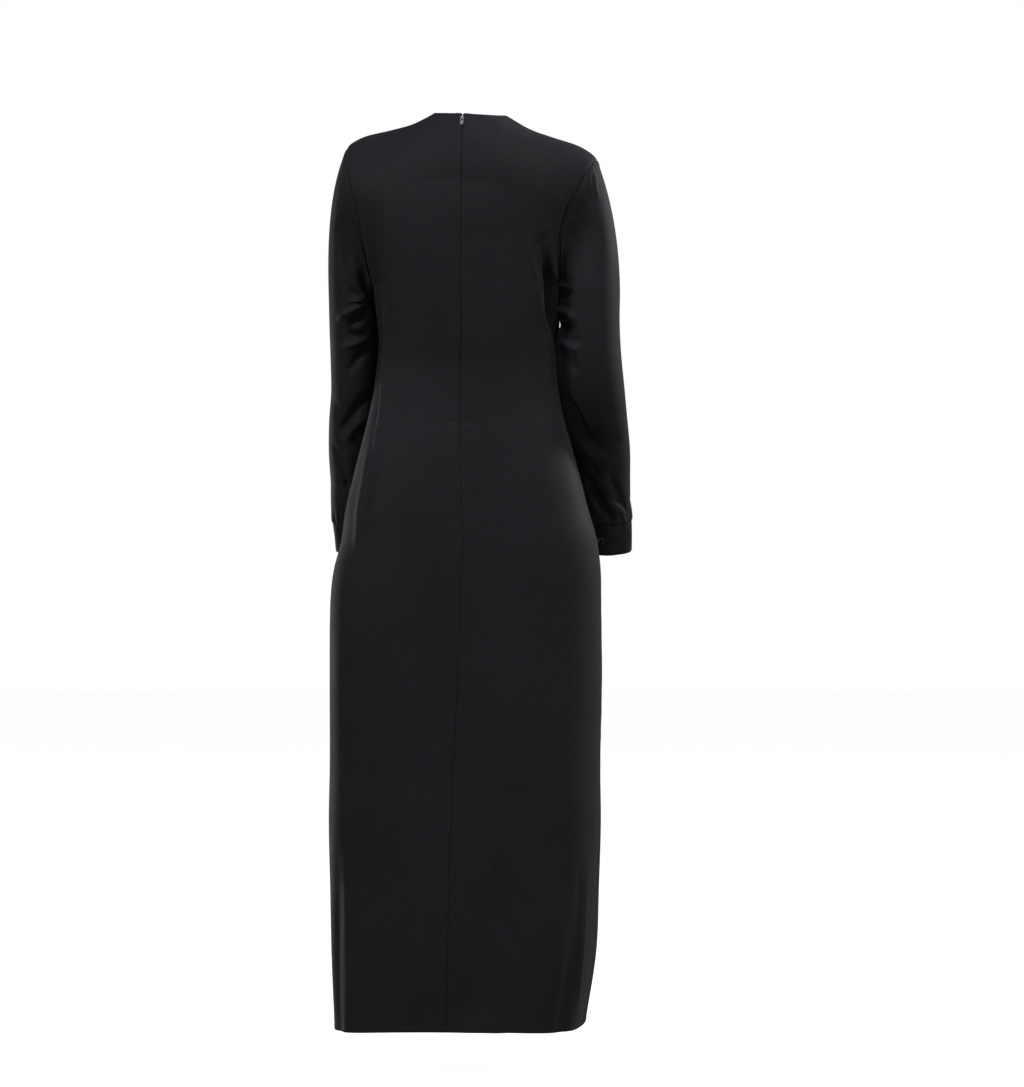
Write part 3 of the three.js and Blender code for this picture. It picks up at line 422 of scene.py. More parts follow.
def read_table(table, key, value):
    """Each column at the given values of the key column, by a smooth curve through its rows."""
    names, *rows = table
    columns = dict(zip(names, np.array(sorted(rows, key=lambda row: row[names.index(key)]), float).T))
    keys = columns[key]
    value = np.clip(value, keys[0], keys[-1])
    i = np.clip(np.searchsorted(keys, value, side="right") - 1, 0, len(keys) - 2)
    span = keys[i + 1] - keys[i]
    t = (value - keys[i]) / span
    result = {}
    for name, column in columns.items():
        before = np.concatenate([column[:1], column[:-1]])
        after = np.concatenate([column[1:], column[-1:]])
        key_before = np.concatenate([keys[:1], keys[:-1]])
        key_after = np.concatenate([keys[1:], keys[-1:]])
        slope = (after - before) / (key_after - key_before)
        result[name] = (
            (2 * t**3 - 3 * t**2 + 1) * column[i]
            + (t**3 - 2 * t**2 + t) * span * slope[i]
            + (3 * t**2 - 2 * t**3) * column[i + 1]
            + (t**3 - t**2) * span * slope[i + 1]
        )
    return result


def fold_ends(along, length):
    run = FOLD_END * length
    return smooth(along / run) * smooth((length - along) / run)


def rows_of(table):
    names, *rows = table
    return [dict(zip(names, row)) for row in rows]


def smooth_line(points, steps):
    """A curve through the points of a crease."""
    points = np.array(points, float)
    if len(points) == 2:
        return mix(points[0], points[1], np.linspace(0, 1, steps)[:, None])
    table = [("at", "u", "v")] + [(i, u, v) for i, (u, v) in enumerate(points)]
    at = np.linspace(0, len(points) - 1, steps * (len(points) - 1))
    line = read_table(table, "at", at)
    return np.stack([line["u"], line["v"]], axis=1)


def crease_lift(creases, u, v, to_mm, round_mm=None):
    """How far creases lift the cloth at each place, in millimetres.

    u is a place's distance round in mm and v its height. to_mm turns a crease's own points
    into such distances. round_mm is the whole way round a sleeve.
    """
    total = np.zeros_like(u)
    for crease in rows_of(creases):
        line = smooth_line(crease["line"], CREASE_STEPS)
        line = np.stack([to_mm(line[:, 0], line[:, 1]), line[:, 1]], axis=1)
        width = crease["width"]
        reach = CREASE_REACH * width
        du = u - line[:, 0].mean()
        if round_mm is not None:
            du = (du + round_mm / 2) % round_mm - round_mm / 2
        half = (line[:, 0].max() - line[:, 0].min()) / 2 + reach
        bottom, top = line[:, 1].min() - reach, line[:, 1].max() + reach
        near = (np.abs(du) < half + reach) & (v > bottom) & (v < top)
        if not near.any():
            continue
        place = np.stack([du[near] + line[:, 0].mean(), v[near]], axis=1)
        steps = np.diff(line, axis=0)
        lengths = np.linalg.norm(steps, axis=1)
        starts = np.concatenate([[0], np.cumsum(lengths)])
        best = np.full(len(place), 1e9)
        along = np.zeros(len(place))
        for i, step in enumerate(steps):
            offset = place - line[i]
            t = np.clip((offset @ step) / (lengths[i] ** 2), 0, 1)
            gap = offset - t[:, None] * step
            distance = np.linalg.norm(gap, axis=1)
            closer = distance < best
            best = np.where(closer, distance, best)
            along = np.where(closer, starts[i] + t * lengths[i], along)
        length = starts[-1]
        total[near] += crease["height"] * fold_ends(along, length) * np.exp(-((best / width) ** 2))
    return total


# Body


def top_edge(face, share):
    """The edge of the body at the top: neckline, then shoulder seam."""
    turn = np.radians(90 * np.minimum(share / NECK_SHARE, 1))
    along = np.clip((share - NECK_SHARE) / (1 - NECK_SHARE), 0, 1)
    on_neck = share <= NECK_SHARE
    across = np.where(on_neck, NECK_ACROSS * np.sin(turn), mix(NECK_ACROSS, SHOULDER_TIP[0], along))
    depth = np.where(
        on_neck,
        NECK_DEPTH + face["sign"] * face["neck_depth"] * np.cos(turn),
        mix(NECK_DEPTH, 0, along),
    )
    height = np.where(
        on_neck,
        mix(NECK_HEIGHT, face["neck_height"], np.cos(turn)),
        read_table(SHOULDER, "share", along)["height"],
    )
    return across, depth, height


def soft_top_edge(face, share, level):
    """The top edge as the cloth below it follows it, its corner beside the neck spread out."""
    spread = NECK_SPREAD * (3 - level) * np.minimum(share, 1 - share)
    edges = [top_edge(face, share + step * spread) for step in (-1, -0.5, 0, 0.5, 1)]
    return [sum(values) / len(edges) for values in zip(*edges)]


def section_shares(share, wrap, square):
    """How far in and how deep a share of a section lies, for cloth that turns by wrap degrees."""
    power = 2 / square
    end = np.radians(wrap)
    across = np.sin(share * end) ** power / np.sin(end) ** power
    flat = np.maximum(np.cos(end), 0) ** power
    bend = (1 - np.maximum(np.cos(share * end), 0) ** power) / (1 - flat)
    return across, bend


def quarter_length(section):
    return QUARTER_SHARE * (section["half_width"] + section["back"])


def body_fold(around, height, section):
    quarter = quarter_length(section)
    total = 0
    for fold in rows_of(BODY_FOLDS):
        length = fold["top"] - fold["bottom"]
        along = fold["top"] - height
        centre = mix(fold["around_top"], fold["around_bottom"], np.clip(along / length, 0, 1))
        endless = 2 * length if fold["bottom"] < HEM else length
        offset = (around - centre) * quarter / fold["width"]
        total = total + fold["height"] * np.exp(-(offset**2)) * fold_ends(along, endless)
    return total


def place(across, depth, height):
    """Puts a place of the body's own section into the frame."""
    section = read_table(TRUNK, "height", height)
    turn = np.radians(section["turn"])
    drop = SHOULDER_DROP * across * smooth((height - UNDERARM) / SHOULDER_DROP_RUN)
    drop = drop - HEM_TILT * (across - HEM_TILT_MIDDLE) * smooth((HEM - height) / HEM_TILT_RUN + 1)
    return np.stack(
        [
            section["middle"] + across * np.cos(turn) - depth * np.sin(turn),
            across * np.sin(turn) + depth * np.cos(turn),
            height - drop,
        ],
        axis=-1,
    )


def armhole_across(height, side, face_name):
    share = (height - UNDERARM) / (SHOULDER_TIP[1] - UNDERARM)
    underarm_half = read_table(TRUNK, "height", UNDERARM)["half_width"]
    straight = mix(underarm_half, SHOULDER_TIP[0], share)
    if side < 0:
        return straight + UNDERARM_SPREAD * (1 - share) ** 1.5
    return straight - (ARMHOLE_BOW * np.sin(np.pi * share) if face_name == "back" else 0)


def section_out(across, bend, section, face_name):
    """The outward direction of a section: to the side, and away from the shoulder line."""
    power = section["square"] - 1
    to_side = across**power / section["half_width"]
    away = np.maximum(1 - bend, 0) ** power / section[face_name]
    return unit(np.stack([to_side, away], axis=-1))


def lower_body(face_name, side, share, level):
    """The body from the hem, level 0, to the underarm, level 1."""
    face = FACES[face_name]
    around = side * (share if face_name == "back" else 2 - share)
    height = mix(HEM, UNDERARM, level)
    section = read_table(TRUNK, "height", height)
    across, bend = section_shares(share, 90, section["square"])
    reach = section[face_name]
    fold = body_fold(around, height, section)
    out = section_out(across, bend, section, face_name)
    spread = UNDERARM_SPREAD * smooth((height - UNDERARM) / UNDERARM_SPREAD_RUN + 1) if side < 0 else 0
    points = place(
        side * ((section["half_width"] + spread) * across + fold * out[..., 0]),
        face["sign"] * (reach * (1 - bend) + fold * out[..., 1]),
        height,
    )
    points[..., 2] -= HEM_DIP * smooth(share / HEM_DIP_SHARE) * (1 - level) ** HEM_DIP_POWER
    return points


def upper_body(face_name, side, share, level):
    """The body from the underarm, level 1, past the armhole's widest, 2, to the top, 3."""
    face = FACES[face_name]
    around = side * (share if face_name == "back" else 2 - share)
    lower = np.clip(level - 1, 0, 1)
    turn_height = mix(face["turn_height"], ARMHOLE_WIDEST, share)
    edge_rise = 1 - np.cos(np.radians(90 * lower))
    height = mix(UNDERARM, turn_height, mix(lower, edge_rise, share))
    edge_height = mix(UNDERARM, ARMHOLE_WIDEST, edge_rise)
    edge_across = armhole_across(edge_height, side, face_name)
    edge_depth = face["armhole"] * np.sin(np.radians(90 * lower))
    section = read_table(TRUNK, "height", height)
    wrap = mix(WRAP_UNDERARM, WRAP_SHOULDER, smooth(lower))
    across, bend = section_shares(share, wrap, section["square"])
    fade = mix(1, smooth((1 - share) / 0.12), smooth(lower / 0.3))
    fold = body_fold(around, height, section) * fade
    # Above the underarm, folds stand out from the back, with a lean to the side
    over_shoulder = np.stack([0.6 * across, np.full_like(across, 0.8)], axis=-1)
    out = section_out(across, bend, section, face_name)
    out = mix(out, over_shoulder, smooth(lower / 0.4)[..., None])
    base_across = edge_across * across + fold * out[..., 0]
    base_depth = mix(section[face_name], edge_depth, bend) + fold * out[..., 1]

    edge = soft_top_edge(face, share, np.clip(level, 2, 3))
    lean = np.radians(mix(face["lean"], 90, smooth(share / NECK_SHARE)))
    turn = np.clip(level - 2, 0, 1) * lean
    rise = np.sin(turn) / np.sin(lean)
    close = (1 - np.cos(turn)) / (1 - np.cos(lean))
    return place(
        side * mix(base_across, edge[0], rise),
        mix(face["sign"] * base_depth, edge[1], close),
        mix(height, edge[2], rise),
    )


def body_points(face_name, side, share, level):
    share, level = np.broadcast_arrays(np.asarray(share, float), np.asarray(level, float))
    low = lower_body(face_name, side, share, np.clip(level, 0, 1))
    high = upper_body(face_name, side, share, np.clip(level, 1, 3))
    return np.where((level <= 1)[..., None], low, high)


def steps_with_close_ends(length, step, first, last=None):
    """Distances from 0 to length, close together at both ends."""
    last = first if last is None else last
    count = max(int(round((length - first[-1] - last[-1]) / step)), 2)
    middle = np.linspace(first[-1], length - last[-1], count + 1)[1:-1]
    ends = length - np.array(last[::-1])
    return np.concatenate([[0], first, middle, ends, [length]])


def shares_round(face_name, step):
    """Shares from the centre to the side whose points lie evenly round a section."""
    dense = np.linspace(0, 1, 4001)
    points = body_points(face_name, 1, dense, HIP_LEVEL)
    travelled = np.concatenate([[0], np.cumsum(np.linalg.norm(np.diff(points, axis=0), axis=1))])
    return np.interp(steps_with_close_ends(travelled[-1], step, BESIDE_SIDE), travelled, dense)


def body_levels(step):
    """Levels from the hem to the top whose rows lie about a step apart."""
    run = UNDERARM - HEM
    skirt = steps_with_close_ends(run, step, BESIDE_HEM, (step,)) / run
    lower = 1 + np.linspace(0, 1, int(ARMHOLE_RUN / step))[1:]
    top = steps_with_close_ends(TOP_RUN, step, (step,), BESIDE_SEAM) / TOP_RUN
    return np.concatenate([skirt, lower, 2 + top[1:]])


def along_rows(grid):
    steps = np.linalg.norm(np.diff(grid, axis=1), axis=2)
    return np.concatenate([np.zeros((len(grid), 1)), np.cumsum(steps, axis=1)], axis=1)


def along_columns(grid):
    steps = np.linalg.norm(np.diff(grid, axis=0), axis=2)
    return np.concatenate([np.zeros((1, grid.shape[1])), np.cumsum(steps, axis=0)], axis=0)


def slopes(points, axis):
    """Directions along an axis of a grid, from a curve through each three points."""
    points = np.moveaxis(points, axis, 0)
    steps = np.diff(points, axis=0)
    lengths = np.maximum(np.linalg.norm(steps, axis=-1, keepdims=True), 1e-9)
    before, after = steps[:-1] / lengths[:-1], steps[1:] / lengths[1:]
    middle = (before * lengths[1:] + after * lengths[:-1]) / (lengths[1:] + lengths[:-1])
    first = 2 * steps[:1] / lengths[:1] - middle[:1]
    last = 2 * steps[-1:] / lengths[-1:] - middle[-1:]
    return np.moveaxis(np.concatenate([first, middle, last]), 0, axis)


def grid_normals(grid, closed=False):
    """Normals of a grid of rows that climb, or fall on a sleeve, to its outside."""
    if closed:
        wide = np.concatenate([grid[:, -1:], grid, grid[:, :1]], axis=1)
        across = slopes(wide, 1)[:, 1:-1]
    else:
        across = slopes(grid, 1)
    return unit(np.cross(across, slopes(grid, 0)))


def inset_edge(points, beside, amount):
    return points + unit(beside - points) * amount


def groove(distance, deep, wide):
    return -deep * np.exp(-((distance / wide) ** 2))


def ledge(distance, high, wide):
    """Cloth that lies higher over a seam allowance of some width."""
    return high * smooth(distance / 2.5) * smooth((wide - distance) / 4 + 0.5)


def seam_form(kind, distance):
    """The groove of a seam and the ledge over its allowance."""
    seam = SEAMS[kind]
    return groove(distance, *seam["groove"]) + ledge(distance, *seam["ledge"])


def beside_seam(kind, distance):
    """How high puckers stand beside a seam, by the distance from it."""
    height, middle, width = SEAMS[kind]["pucker"]
    return height * np.exp(-(((distance - middle) / width) ** 2))


def pucker(along, pace, seed):
    """Uneven small waves beside a seam, between 0 and 1."""
    phase = seed * 2.399
    wave = np.sin(along / pace + phase + 1.7 * np.sin(along / (3.7 * pace) + 2 * phase))
    small = np.sin(along / (0.53 * pace) + 3.1 * phase)
    swell = 0.5 + 0.5 * np.sin(along / (8.3 * pace) + phase)
    return (0.5 + 0.35 * wave + 0.15 * small) * mix(0.4, 1.0, swell)


def drape(u, v, seed):
    """Slow shallow waves in hanging cloth."""
    return (
        0.5 * np.sin(u / 31 + 0.9 * np.sin(v / 210 + seed) + seed)
        + 0.4 * np.sin(u / 19 + v / 160 + 1.3 * np.sin(v / 330 + 2 * seed))
        + 0.3 * np.sin(v / 47 + 1.1 * np.sin(u / 43 + seed))
    )


def body_to_mm(around, height):
    """The way round from the centre back, in millimetres."""
    return around * quarter_length(read_table(TRUNK, "height", height))


def centre_inset(height):
    return mix(CENTRE_CLOSED, PART_HALF, smooth((height - PART_FROM) / PART_RUN))


def body_half(face_name, side, shares, levels):
    """One half of the back or front from the centre to the side: outside, inside, normals."""
    base = body_points(face_name, side, shares[None, :], levels[:, None])
    outward = side if face_name == "back" else -side
    normals = grid_normals(base) * outward
    share = np.broadcast_to(shares, base.shape[:2])
    level = np.broadcast_to(levels[:, None], base.shape[:2])
    from_centre = along_rows(base)
    from_side = from_centre[:, -1:] - from_centre
    from_hem = along_columns(base)
    from_top = from_hem[-1:] - from_hem
    around = side * (share if face_name == "back" else 2 - share)
    height = base[..., 2]
    u = body_to_mm(around, height)

    lift = crease_lift(BODY_CREASES, u, height, body_to_mm)
    lift = lift + BODY_DRAPE * drape(u, height, 1.0)
    # Creases fade before the armhole and the top edge, and run on over the side seam
    beside_armhole = mix(1, smooth((from_side - 0.6) / 4), smooth((level - 1) / 0.3))
    lift = lift * beside_armhole * smooth((from_top - 2) / 16)
    fold_free = smooth(from_centre / CENTRE_FRONT_RUN) if face_name == "front" else 1
    lift = lift * fold_free

    side_seed = side + 2 if face_name == "back" else side + 5
    side_pucker = pucker(height, SEAMS["side"]["pace"], side_seed)
    lift = lift + seam_form("side", from_side) + side_pucker * beside_seam("side", from_side)
    on_shoulder = smooth((share - NECK_SHARE) / 0.03)
    lift = lift + mix(seam_form("neck", from_top), seam_form("shoulder", from_top), on_shoulder)
    lift = lift + HEM_RISE * smooth((HEM_TURN - from_hem) / 1.2 + 0.5)
    lift = lift + groove(from_hem - HEM_STITCHES_AT, *HEM_STITCH_GROOVE)
    lift = lift + groove(from_hem, *SEAMS["hem"]["groove"])
    lift = lift + fold_free * pucker(u, SEAMS["hem"]["pace"], 9) * beside_seam("hem", from_hem)
    shift = np.zeros_like(base)
    if face_name == "back":
        zipped = smooth((height - ZIP_BOTTOM) / 10)
        pace = mix(SEAMS["centre"]["pace"], SEAMS["zip"]["pace"], zipped)
        lift = lift + mix(seam_form("centre", from_centre), seam_form("zip", from_centre), zipped)
        lift = lift + pucker(height, pace, 3) * beside_seam("centre", from_centre)
        near_centre = np.maximum(1 - from_centre / PART_SPREAD, 0) ** 2
        shift = unit(slopes(base, 1)) * (centre_inset(base[:, :1, 2]) * near_centre)[..., None]

    wall = np.where(from_hem < HEM_TURN, HEM_WALL, WALL)
    outer = base + normals * lift[..., None] + shift
    inner = base + normals * (np.minimum(lift, INNER_MOST_LIFT) - wall)[..., None] + shift
    shoulder = np.searchsorted(shares, NECK_SHARE - 1e-6)
    for grid in (outer, inner):
        grid[:, -1] = inset_edge(grid[:, -1], grid[:, -2], SEAM_CLOSED)
        grid[-1, shoulder:] = inset_edge(grid[-1, shoulder:], grid[-2, shoulder:], SEAM_CLOSED)
    return outer, inner, normals


# Walls


def grid_faces(rows, columns, closed, start, flip):
    r, c = np.meshgrid(np.arange(rows - 1), np.arange(columns if closed else columns - 1), indexing="ij")
    n = (c + 1) % columns
    here, above = r * columns, (r + 1) * columns
    quads = np.stack([here + c, here + n, above + n, above + c], axis=-1)
    quads = quads.reshape(-1, 4) + start
    return quads[:, ::-1] if flip else quads


def rim_faces(outside, inside, closed):
    count = len(outside) if closed else len(outside) - 1
    i = np.arange(count)
    j = (i + 1) % len(outside)
    return np.stack([outside[j], outside[i], inside[i], inside[j]], axis=-1)


def cloth_mesh(name, outer, inner, closed=False):
    """A closed wall between an outer and an inner grid."""
    rows, columns = outer.shape[:2]
    size = rows * columns
    number = np.arange(size).reshape(rows, columns)
    faces = [
        grid_faces(rows, columns, closed, 0, False),
        grid_faces(rows, columns, closed, size, True),
        rim_faces(number[0], number[0] + size, closed),
        rim_faces(number[-1][::-1], number[-1][::-1] + size, closed),
    ]
    if not closed:
        faces.append(rim_faces(number[::-1, 0], number[::-1, 0] + size, False))
        faces.append(rim_faces(number[:, -1], number[:, -1] + size, False))
    points = np.concatenate([outer.reshape(-1, 3), inner.reshape(-1, 3)]) * MM
    return solid_mesh(name, points.tolist(), np.concatenate(faces).tolist())


def solid_mesh(name, points, faces):
    mesh = bpy.data.meshes.new(name)
    mesh.from_pydata(points, [], faces)
    mesh.shade_smooth()
    mesh.set_sharp_from_angle(angle=math.radians(48))
    mesh.update()
    piece = bpy.data.objects.new(name, mesh)
    bpy.context.scene.collection.objects.link(piece)
    return piece


def finish_piece(piece, material, nodes=(), body="garment"):
    piece.data.materials.clear()
    piece.data.materials.append(material)
    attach(piece, body)
    if nodes:
        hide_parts(*nodes)


# Materials

BANDS_PER_SCALE = 6.283
FLECKS_PER_CRINKLE = 0.45


def new_group(name, inputs, outputs):
    """A shader node group with named number inputs and outputs."""
    group = bpy.data.node_groups.new(name, "ShaderNodeTree")
    for label, value in inputs:
        socket = group.interface.new_socket(name=label, in_out="INPUT", socket_type="NodeSocketFloat")
        socket.default_value = value
    for label in outputs:
        group.interface.new_socket(name=label, in_out="OUTPUT", socket_type="NodeSocketFloat")
    return group, group.nodes.new("NodeGroupInput"), group.nodes.new("NodeGroupOutput")


def math_node(tree, operation, first, second):
    node = tree.nodes.new("ShaderNodeMath")
    node.operation = operation
    for socket, value in zip(node.inputs, (first, second)):
        if isinstance(value, (int, float)):
            socket.default_value = value
        else:
            tree.links.new(value, socket)
    return node.outputs[0]


def crinkle_group():
    """The pebbled grain of crepe: crossed twisted threads over uneven small crinkles."""
    group, given, result = new_group(
        "crepe_crinkle",
        [("Crinkles per Metre", 700.0), ("Threads per Metre", 2200.0), ("Thread Share", 0.35)],
        ["Height", "Fleck"],
    )
    nodes, links = group.nodes, group.links
    where = nodes.new("ShaderNodeTexCoord").outputs["Object"]
    crinkle = nodes.new("ShaderNodeTexNoise")
    crinkle.inputs["Detail"].default_value = 3.0
    crinkle.inputs["Roughness"].default_value = 0.6
    links.new(where, crinkle.inputs["Vector"])
    links.new(given.outputs["Crinkles per Metre"], crinkle.inputs["Scale"])
    bands = []
    for direction in ("Z", "DIAGONAL"):
        wave = nodes.new("ShaderNodeTexWave")
        wave.bands_direction = direction
        wave.inputs["Distortion"].default_value = 1.2
        wave.inputs["Detail"].default_value = 1.0
        links.new(where, wave.inputs["Vector"])
        bands_each = math_node(group, "DIVIDE", given.outputs["Threads per Metre"], BANDS_PER_SCALE)
        links.new(bands_each, wave.inputs["Scale"])
        bands.append(wave.outputs["Fac"])
    threads = math_node(group, "MAXIMUM", bands[0], bands[1])
    woven = math_node(group, "MULTIPLY", threads, given.outputs["Thread Share"])
    links.new(math_node(group, "ADD", crinkle.outputs["Fac"], woven), result.inputs["Height"])
    fleck = nodes.new("ShaderNodeTexNoise")
    fleck.inputs["Detail"].default_value = 2.0
    links.new(where, fleck.inputs["Vector"])
    flecks = math_node(group, "MULTIPLY", given.outputs["Crinkles per Metre"], FLECKS_PER_CRINKLE)
    links.new(flecks, fleck.inputs["Scale"])
    links.new(fleck.outputs["Fac"], result.inputs["Fleck"])
    return group


def patch_and_edge_highlight_group():
    """Slow uneven patches, and a mask of the sharp edges, where a painted highlight is laid."""
    group, given, result = new_group(
        "patches_and_painted_edge_highlight",
        [("Patches per Metre", 9.0), ("Edge Gain", 6.0)],
        ["Patch", "Edge"],
    )
    nodes, links = group.nodes, group.links
    patch = nodes.new("ShaderNodeTexNoise")
    patch.inputs["Detail"].default_value = 4.0
    links.new(nodes.new("ShaderNodeTexCoord").outputs["Object"], patch.inputs["Vector"])
    links.new(given.outputs["Patches per Metre"], patch.inputs["Scale"])
    links.new(patch.outputs["Fac"], result.inputs["Patch"])
    # The mask of sharp edges, where the lacquer's painted highlight goes
    pointed = nodes.new("ShaderNodeNewGeometry").outputs["Pointiness"]
    raised = math_node(group, "SUBTRACT", pointed, 0.5)
    edge = math_node(group, "MULTIPLY", raised, given.outputs["Edge Gain"])
    links.new(math_node(group, "MINIMUM", math_node(group, "MAXIMUM", edge, 0.0), 1.0), result.inputs["Edge"])
    return group


CRINKLE = crinkle_group()
PATCHES_AND_EDGE_HIGHLIGHT = patch_and_edge_highlight_group()


def use_group(tree, group, values):
    node = tree.nodes.new("ShaderNodeGroup")
    node.node_tree = group
    for label, value in values.items():
        node.inputs[label].default_value = value
    return node


def start_material(name, settings):
    material = bpy.data.materials.new(name)
    material.use_nodes = True
    tree = material.node_tree
    shader = tree.nodes["Principled BSDF"]
    for label, value in settings.items():
        shader.inputs[label].default_value = value
    return material, tree, shader


def blend_colours(tree, factor, dark, light):
    node = tree.nodes.new("ShaderNodeMix")
    node.data_type = "RGBA"
    colour_inputs = [socket for socket in node.inputs if socket.type == "RGBA"]
    colour_inputs[0].default_value = (*dark, 1)
    colour_inputs[1].default_value = (*light, 1)
    tree.links.new(factor, node.inputs["Factor"])
    return next(socket for socket in node.outputs if socket.type == "RGBA")


def map_range(tree, value, low, high, to_low, to_high):
    node = tree.nodes.new("ShaderNodeMapRange")
    tree.links.new(value, node.inputs["Value"])
    node.inputs["From Min"].default_value = low
    node.inputs["From Max"].default_value = high
    node.inputs["To Min"].default_value = to_low
    node.inputs["To Max"].default_value = to_high
    return node.outputs["Result"]


def bump(tree, height, strength, distance):
    node = tree.nodes.new("ShaderNodeBump")
    node.inputs["Strength"].default_value = strength
    node.inputs["Distance"].default_value = distance
    tree.links.new(height, node.inputs["Height"])
    return node.outputs["Normal"]


def cloth_material(name, dark, light, roughness, sheen, grain, depth, patches):
    """Woven cloth: crinkled threads, slow patches of tone, and a soft sheen."""
    material, tree, shader = start_material(
        name,
        {
            "Specular IOR Level": 0.1,
            "Sheen Weight": sheen,
            "Sheen Roughness": 0.45,
            "Sheen Tint": (0.92, 0.88, 1.0, 1.0),
        },
    )
    crinkle = use_group(tree, CRINKLE, grain)
    patch = use_group(tree, PATCHES_AND_EDGE_HIGHLIGHT, {"Patches per Metre": patches})
    tone = math_node(tree, "MULTIPLY", crinkle.outputs["Fleck"], patch.outputs["Patch"])
    factor = map_range(tree, tone, 0.12, 0.42, 0.0, 1.0)
    tree.links.new(blend_colours(tree, factor, dark, light), shader.inputs["Base Color"])
    rough = map_range(tree, patch.outputs["Patch"], 0.3, 0.7, roughness[0], roughness[1])
    tree.links.new(rough, shader.inputs["Roughness"])
    tree.links.new(bump(tree, crinkle.outputs["Height"], 0.5, depth), shader.inputs["Normal"])
    return material


def lacquer_material(name, dark, light, roughness, metallic, coat):
    """A smooth dark finish with a painted highlight: paler and duller along its sharp edges."""
    material, tree, shader = start_material(
        name, {"Metallic": metallic, "Coat Weight": coat, "Coat Roughness": 0.08}
    )
    patches_and_highlight = use_group(tree, PATCHES_AND_EDGE_HIGHLIGHT, {"Patches per Metre": 160.0, "Edge Gain": 9.0})
    # Painted highlight: the sharp edges take the paler colour
    colour = blend_colours(tree, patches_and_highlight.outputs["Edge"], dark, light)
    tree.links.new(colour, shader.inputs["Base Color"])
    highlight_and_patch = math_node(tree, "ADD", patches_and_highlight.outputs["Edge"], patches_and_highlight.outputs["Patch"])
    rough = map_range(tree, highlight_and_patch, 0.2, 1.2, roughness[0], roughness[1])
    tree.links.new(rough, shader.inputs["Roughness"])
    tree.links.new(bump(tree, patches_and_highlight.outputs["Patch"], 0.15, 0.0001), shader.inputs["Normal"])
    return material


CREPE_GRAIN = {"Crinkles per Metre": 650.0, "Threads per Metre": 1900.0, "Thread Share": 0.3}
TAPE_GRAIN = {"Crinkles per Metre": 1200.0, "Threads per Metre": 2600.0, "Thread Share": 1.0}
THREAD_GRAIN = {"Crinkles per Metre": 2600.0, "Threads per Metre": 6000.0, "Thread Share": 0.8}

crepe = cloth_material(
    "black_crepe",
    dark=(0.0085, 0.0080, 0.0105),
    light=(0.0135, 0.0125, 0.0160),
    roughness=(0.62, 0.74),
    sheen=0.03,
    grain=CREPE_GRAIN,
    depth=0.0004,
    patches=7.0,
)
thread = cloth_material(
    "black_thread",
    dark=(0.010, 0.0095, 0.012),
    light=(0.020, 0.019, 0.023),
    roughness=(0.42, 0.55),
    sheen=0.15,
    grain=THREAD_GRAIN,
    depth=0.0001,
    patches=60.0,
)
tape_cloth = cloth_material(
    "zip_tape_twill",
    dark=(0.008, 0.0078, 0.0095),
    light=(0.014, 0.013, 0.016),
    roughness=(0.7, 0.82),
    sheen=0.12,
    grain=TAPE_GRAIN,
    depth=0.0002,
    patches=40.0,
)
# For these hard parts, light is the colour of the painted highlight on their sharp edges
button_gloss = lacquer_material(
    "button_resin",
    dark=(0.006, 0.006, 0.008),
    light=(0.03, 0.03, 0.034),
    roughness=(0.08, 0.3),
    metallic=0.0,
    coat=0.6,
)
zip_coil = lacquer_material(
    "zip_coil_nylon",
    dark=(0.012, 0.012, 0.015),
    light=(0.04, 0.04, 0.045),
    roughness=(0.3, 0.5),
    metallic=0.0,
    coat=0.0,
)
zip_enamel = lacquer_material(
    "zip_enamel",
    dark=(0.02, 0.02, 0.025),
    light=(0.35, 0.35, 0.37),
    roughness=(0.18, 0.42),
    metallic=0.75,
    coat=0.3,
)

# Stitching


def line_along(grid, normals, distances, at):
    """The places on a grid's rows at one distance from its first row, and their outward side."""
    places = np.empty((grid.shape[1], 3))
    sides = np.empty((grid.shape[1], 3))
    for c in range(grid.shape[1]):
        for k in range(3):
            places[c, k] = np.interp(at, distances[:, c], grid[:, c, k])
            sides[c, k] = np.interp(at, distances[:, c], normals[:, c, k])
    return places, unit(sides)


def stitch_rows(lines, radius):
    """Short threads laid end to end along lines of (places, outward sides)."""
    shares, thick, lift = np.array(STITCH_FORM[1:]).T
    points = []
    faces = []
    for places, sides in lines:
        travelled = np.concatenate([[0], np.cumsum(np.linalg.norm(np.diff(places, axis=0), axis=1))])
        last_start = travelled[-1] - STITCH_LENGTH - STITCH_GAP
        for start in np.arange(STITCH_GAP, last_start, STITCH_LENGTH + STITCH_GAP):
            at = start + STITCH_LENGTH * shares
            middle = np.stack([np.interp(at, travelled, places[:, k]) for k in range(3)], axis=1)
            out = unit(np.stack([np.interp(at, travelled, sides[:, k]) for k in range(3)], axis=1))
            run = unit(middle[-1:] - middle[:1])
            across = unit(np.cross(run, out))
            first = len(points)
            for i in range(len(at)):
                centre = middle[i] + out[i] * radius * lift[i]
                for turn in range(STITCH_SIDES):
                    angle = 2 * math.pi * turn / STITCH_SIDES
                    side = math.cos(angle) * across[i] + math.sin(angle) * out[i]
                    points.append(centre + radius * thick[i] * side)
            for i in range(len(at) - 1):
                here = first + i * STITCH_SIDES
                there = here + STITCH_SIDES
                for turn in range(STITCH_SIDES):
                    after = (turn + 1) % STITCH_SIDES
                    faces.append([here + turn, there + turn, there + after, here + after])
            faces.append([first + turn for turn in range(STITCH_SIDES)])
            last = first + (len(at) - 1) * STITCH_SIDES
            faces.append([last + turn for turn in reversed(range(STITCH_SIDES))])
    return (np.array(points) * MM).tolist(), faces


def add_stitches(name, lines, radius):
    points, faces = stitch_rows(lines, radius)
    finish_piece(solid_mesh(name, points, faces), thread)


# Back and front, each half from the centre to the side

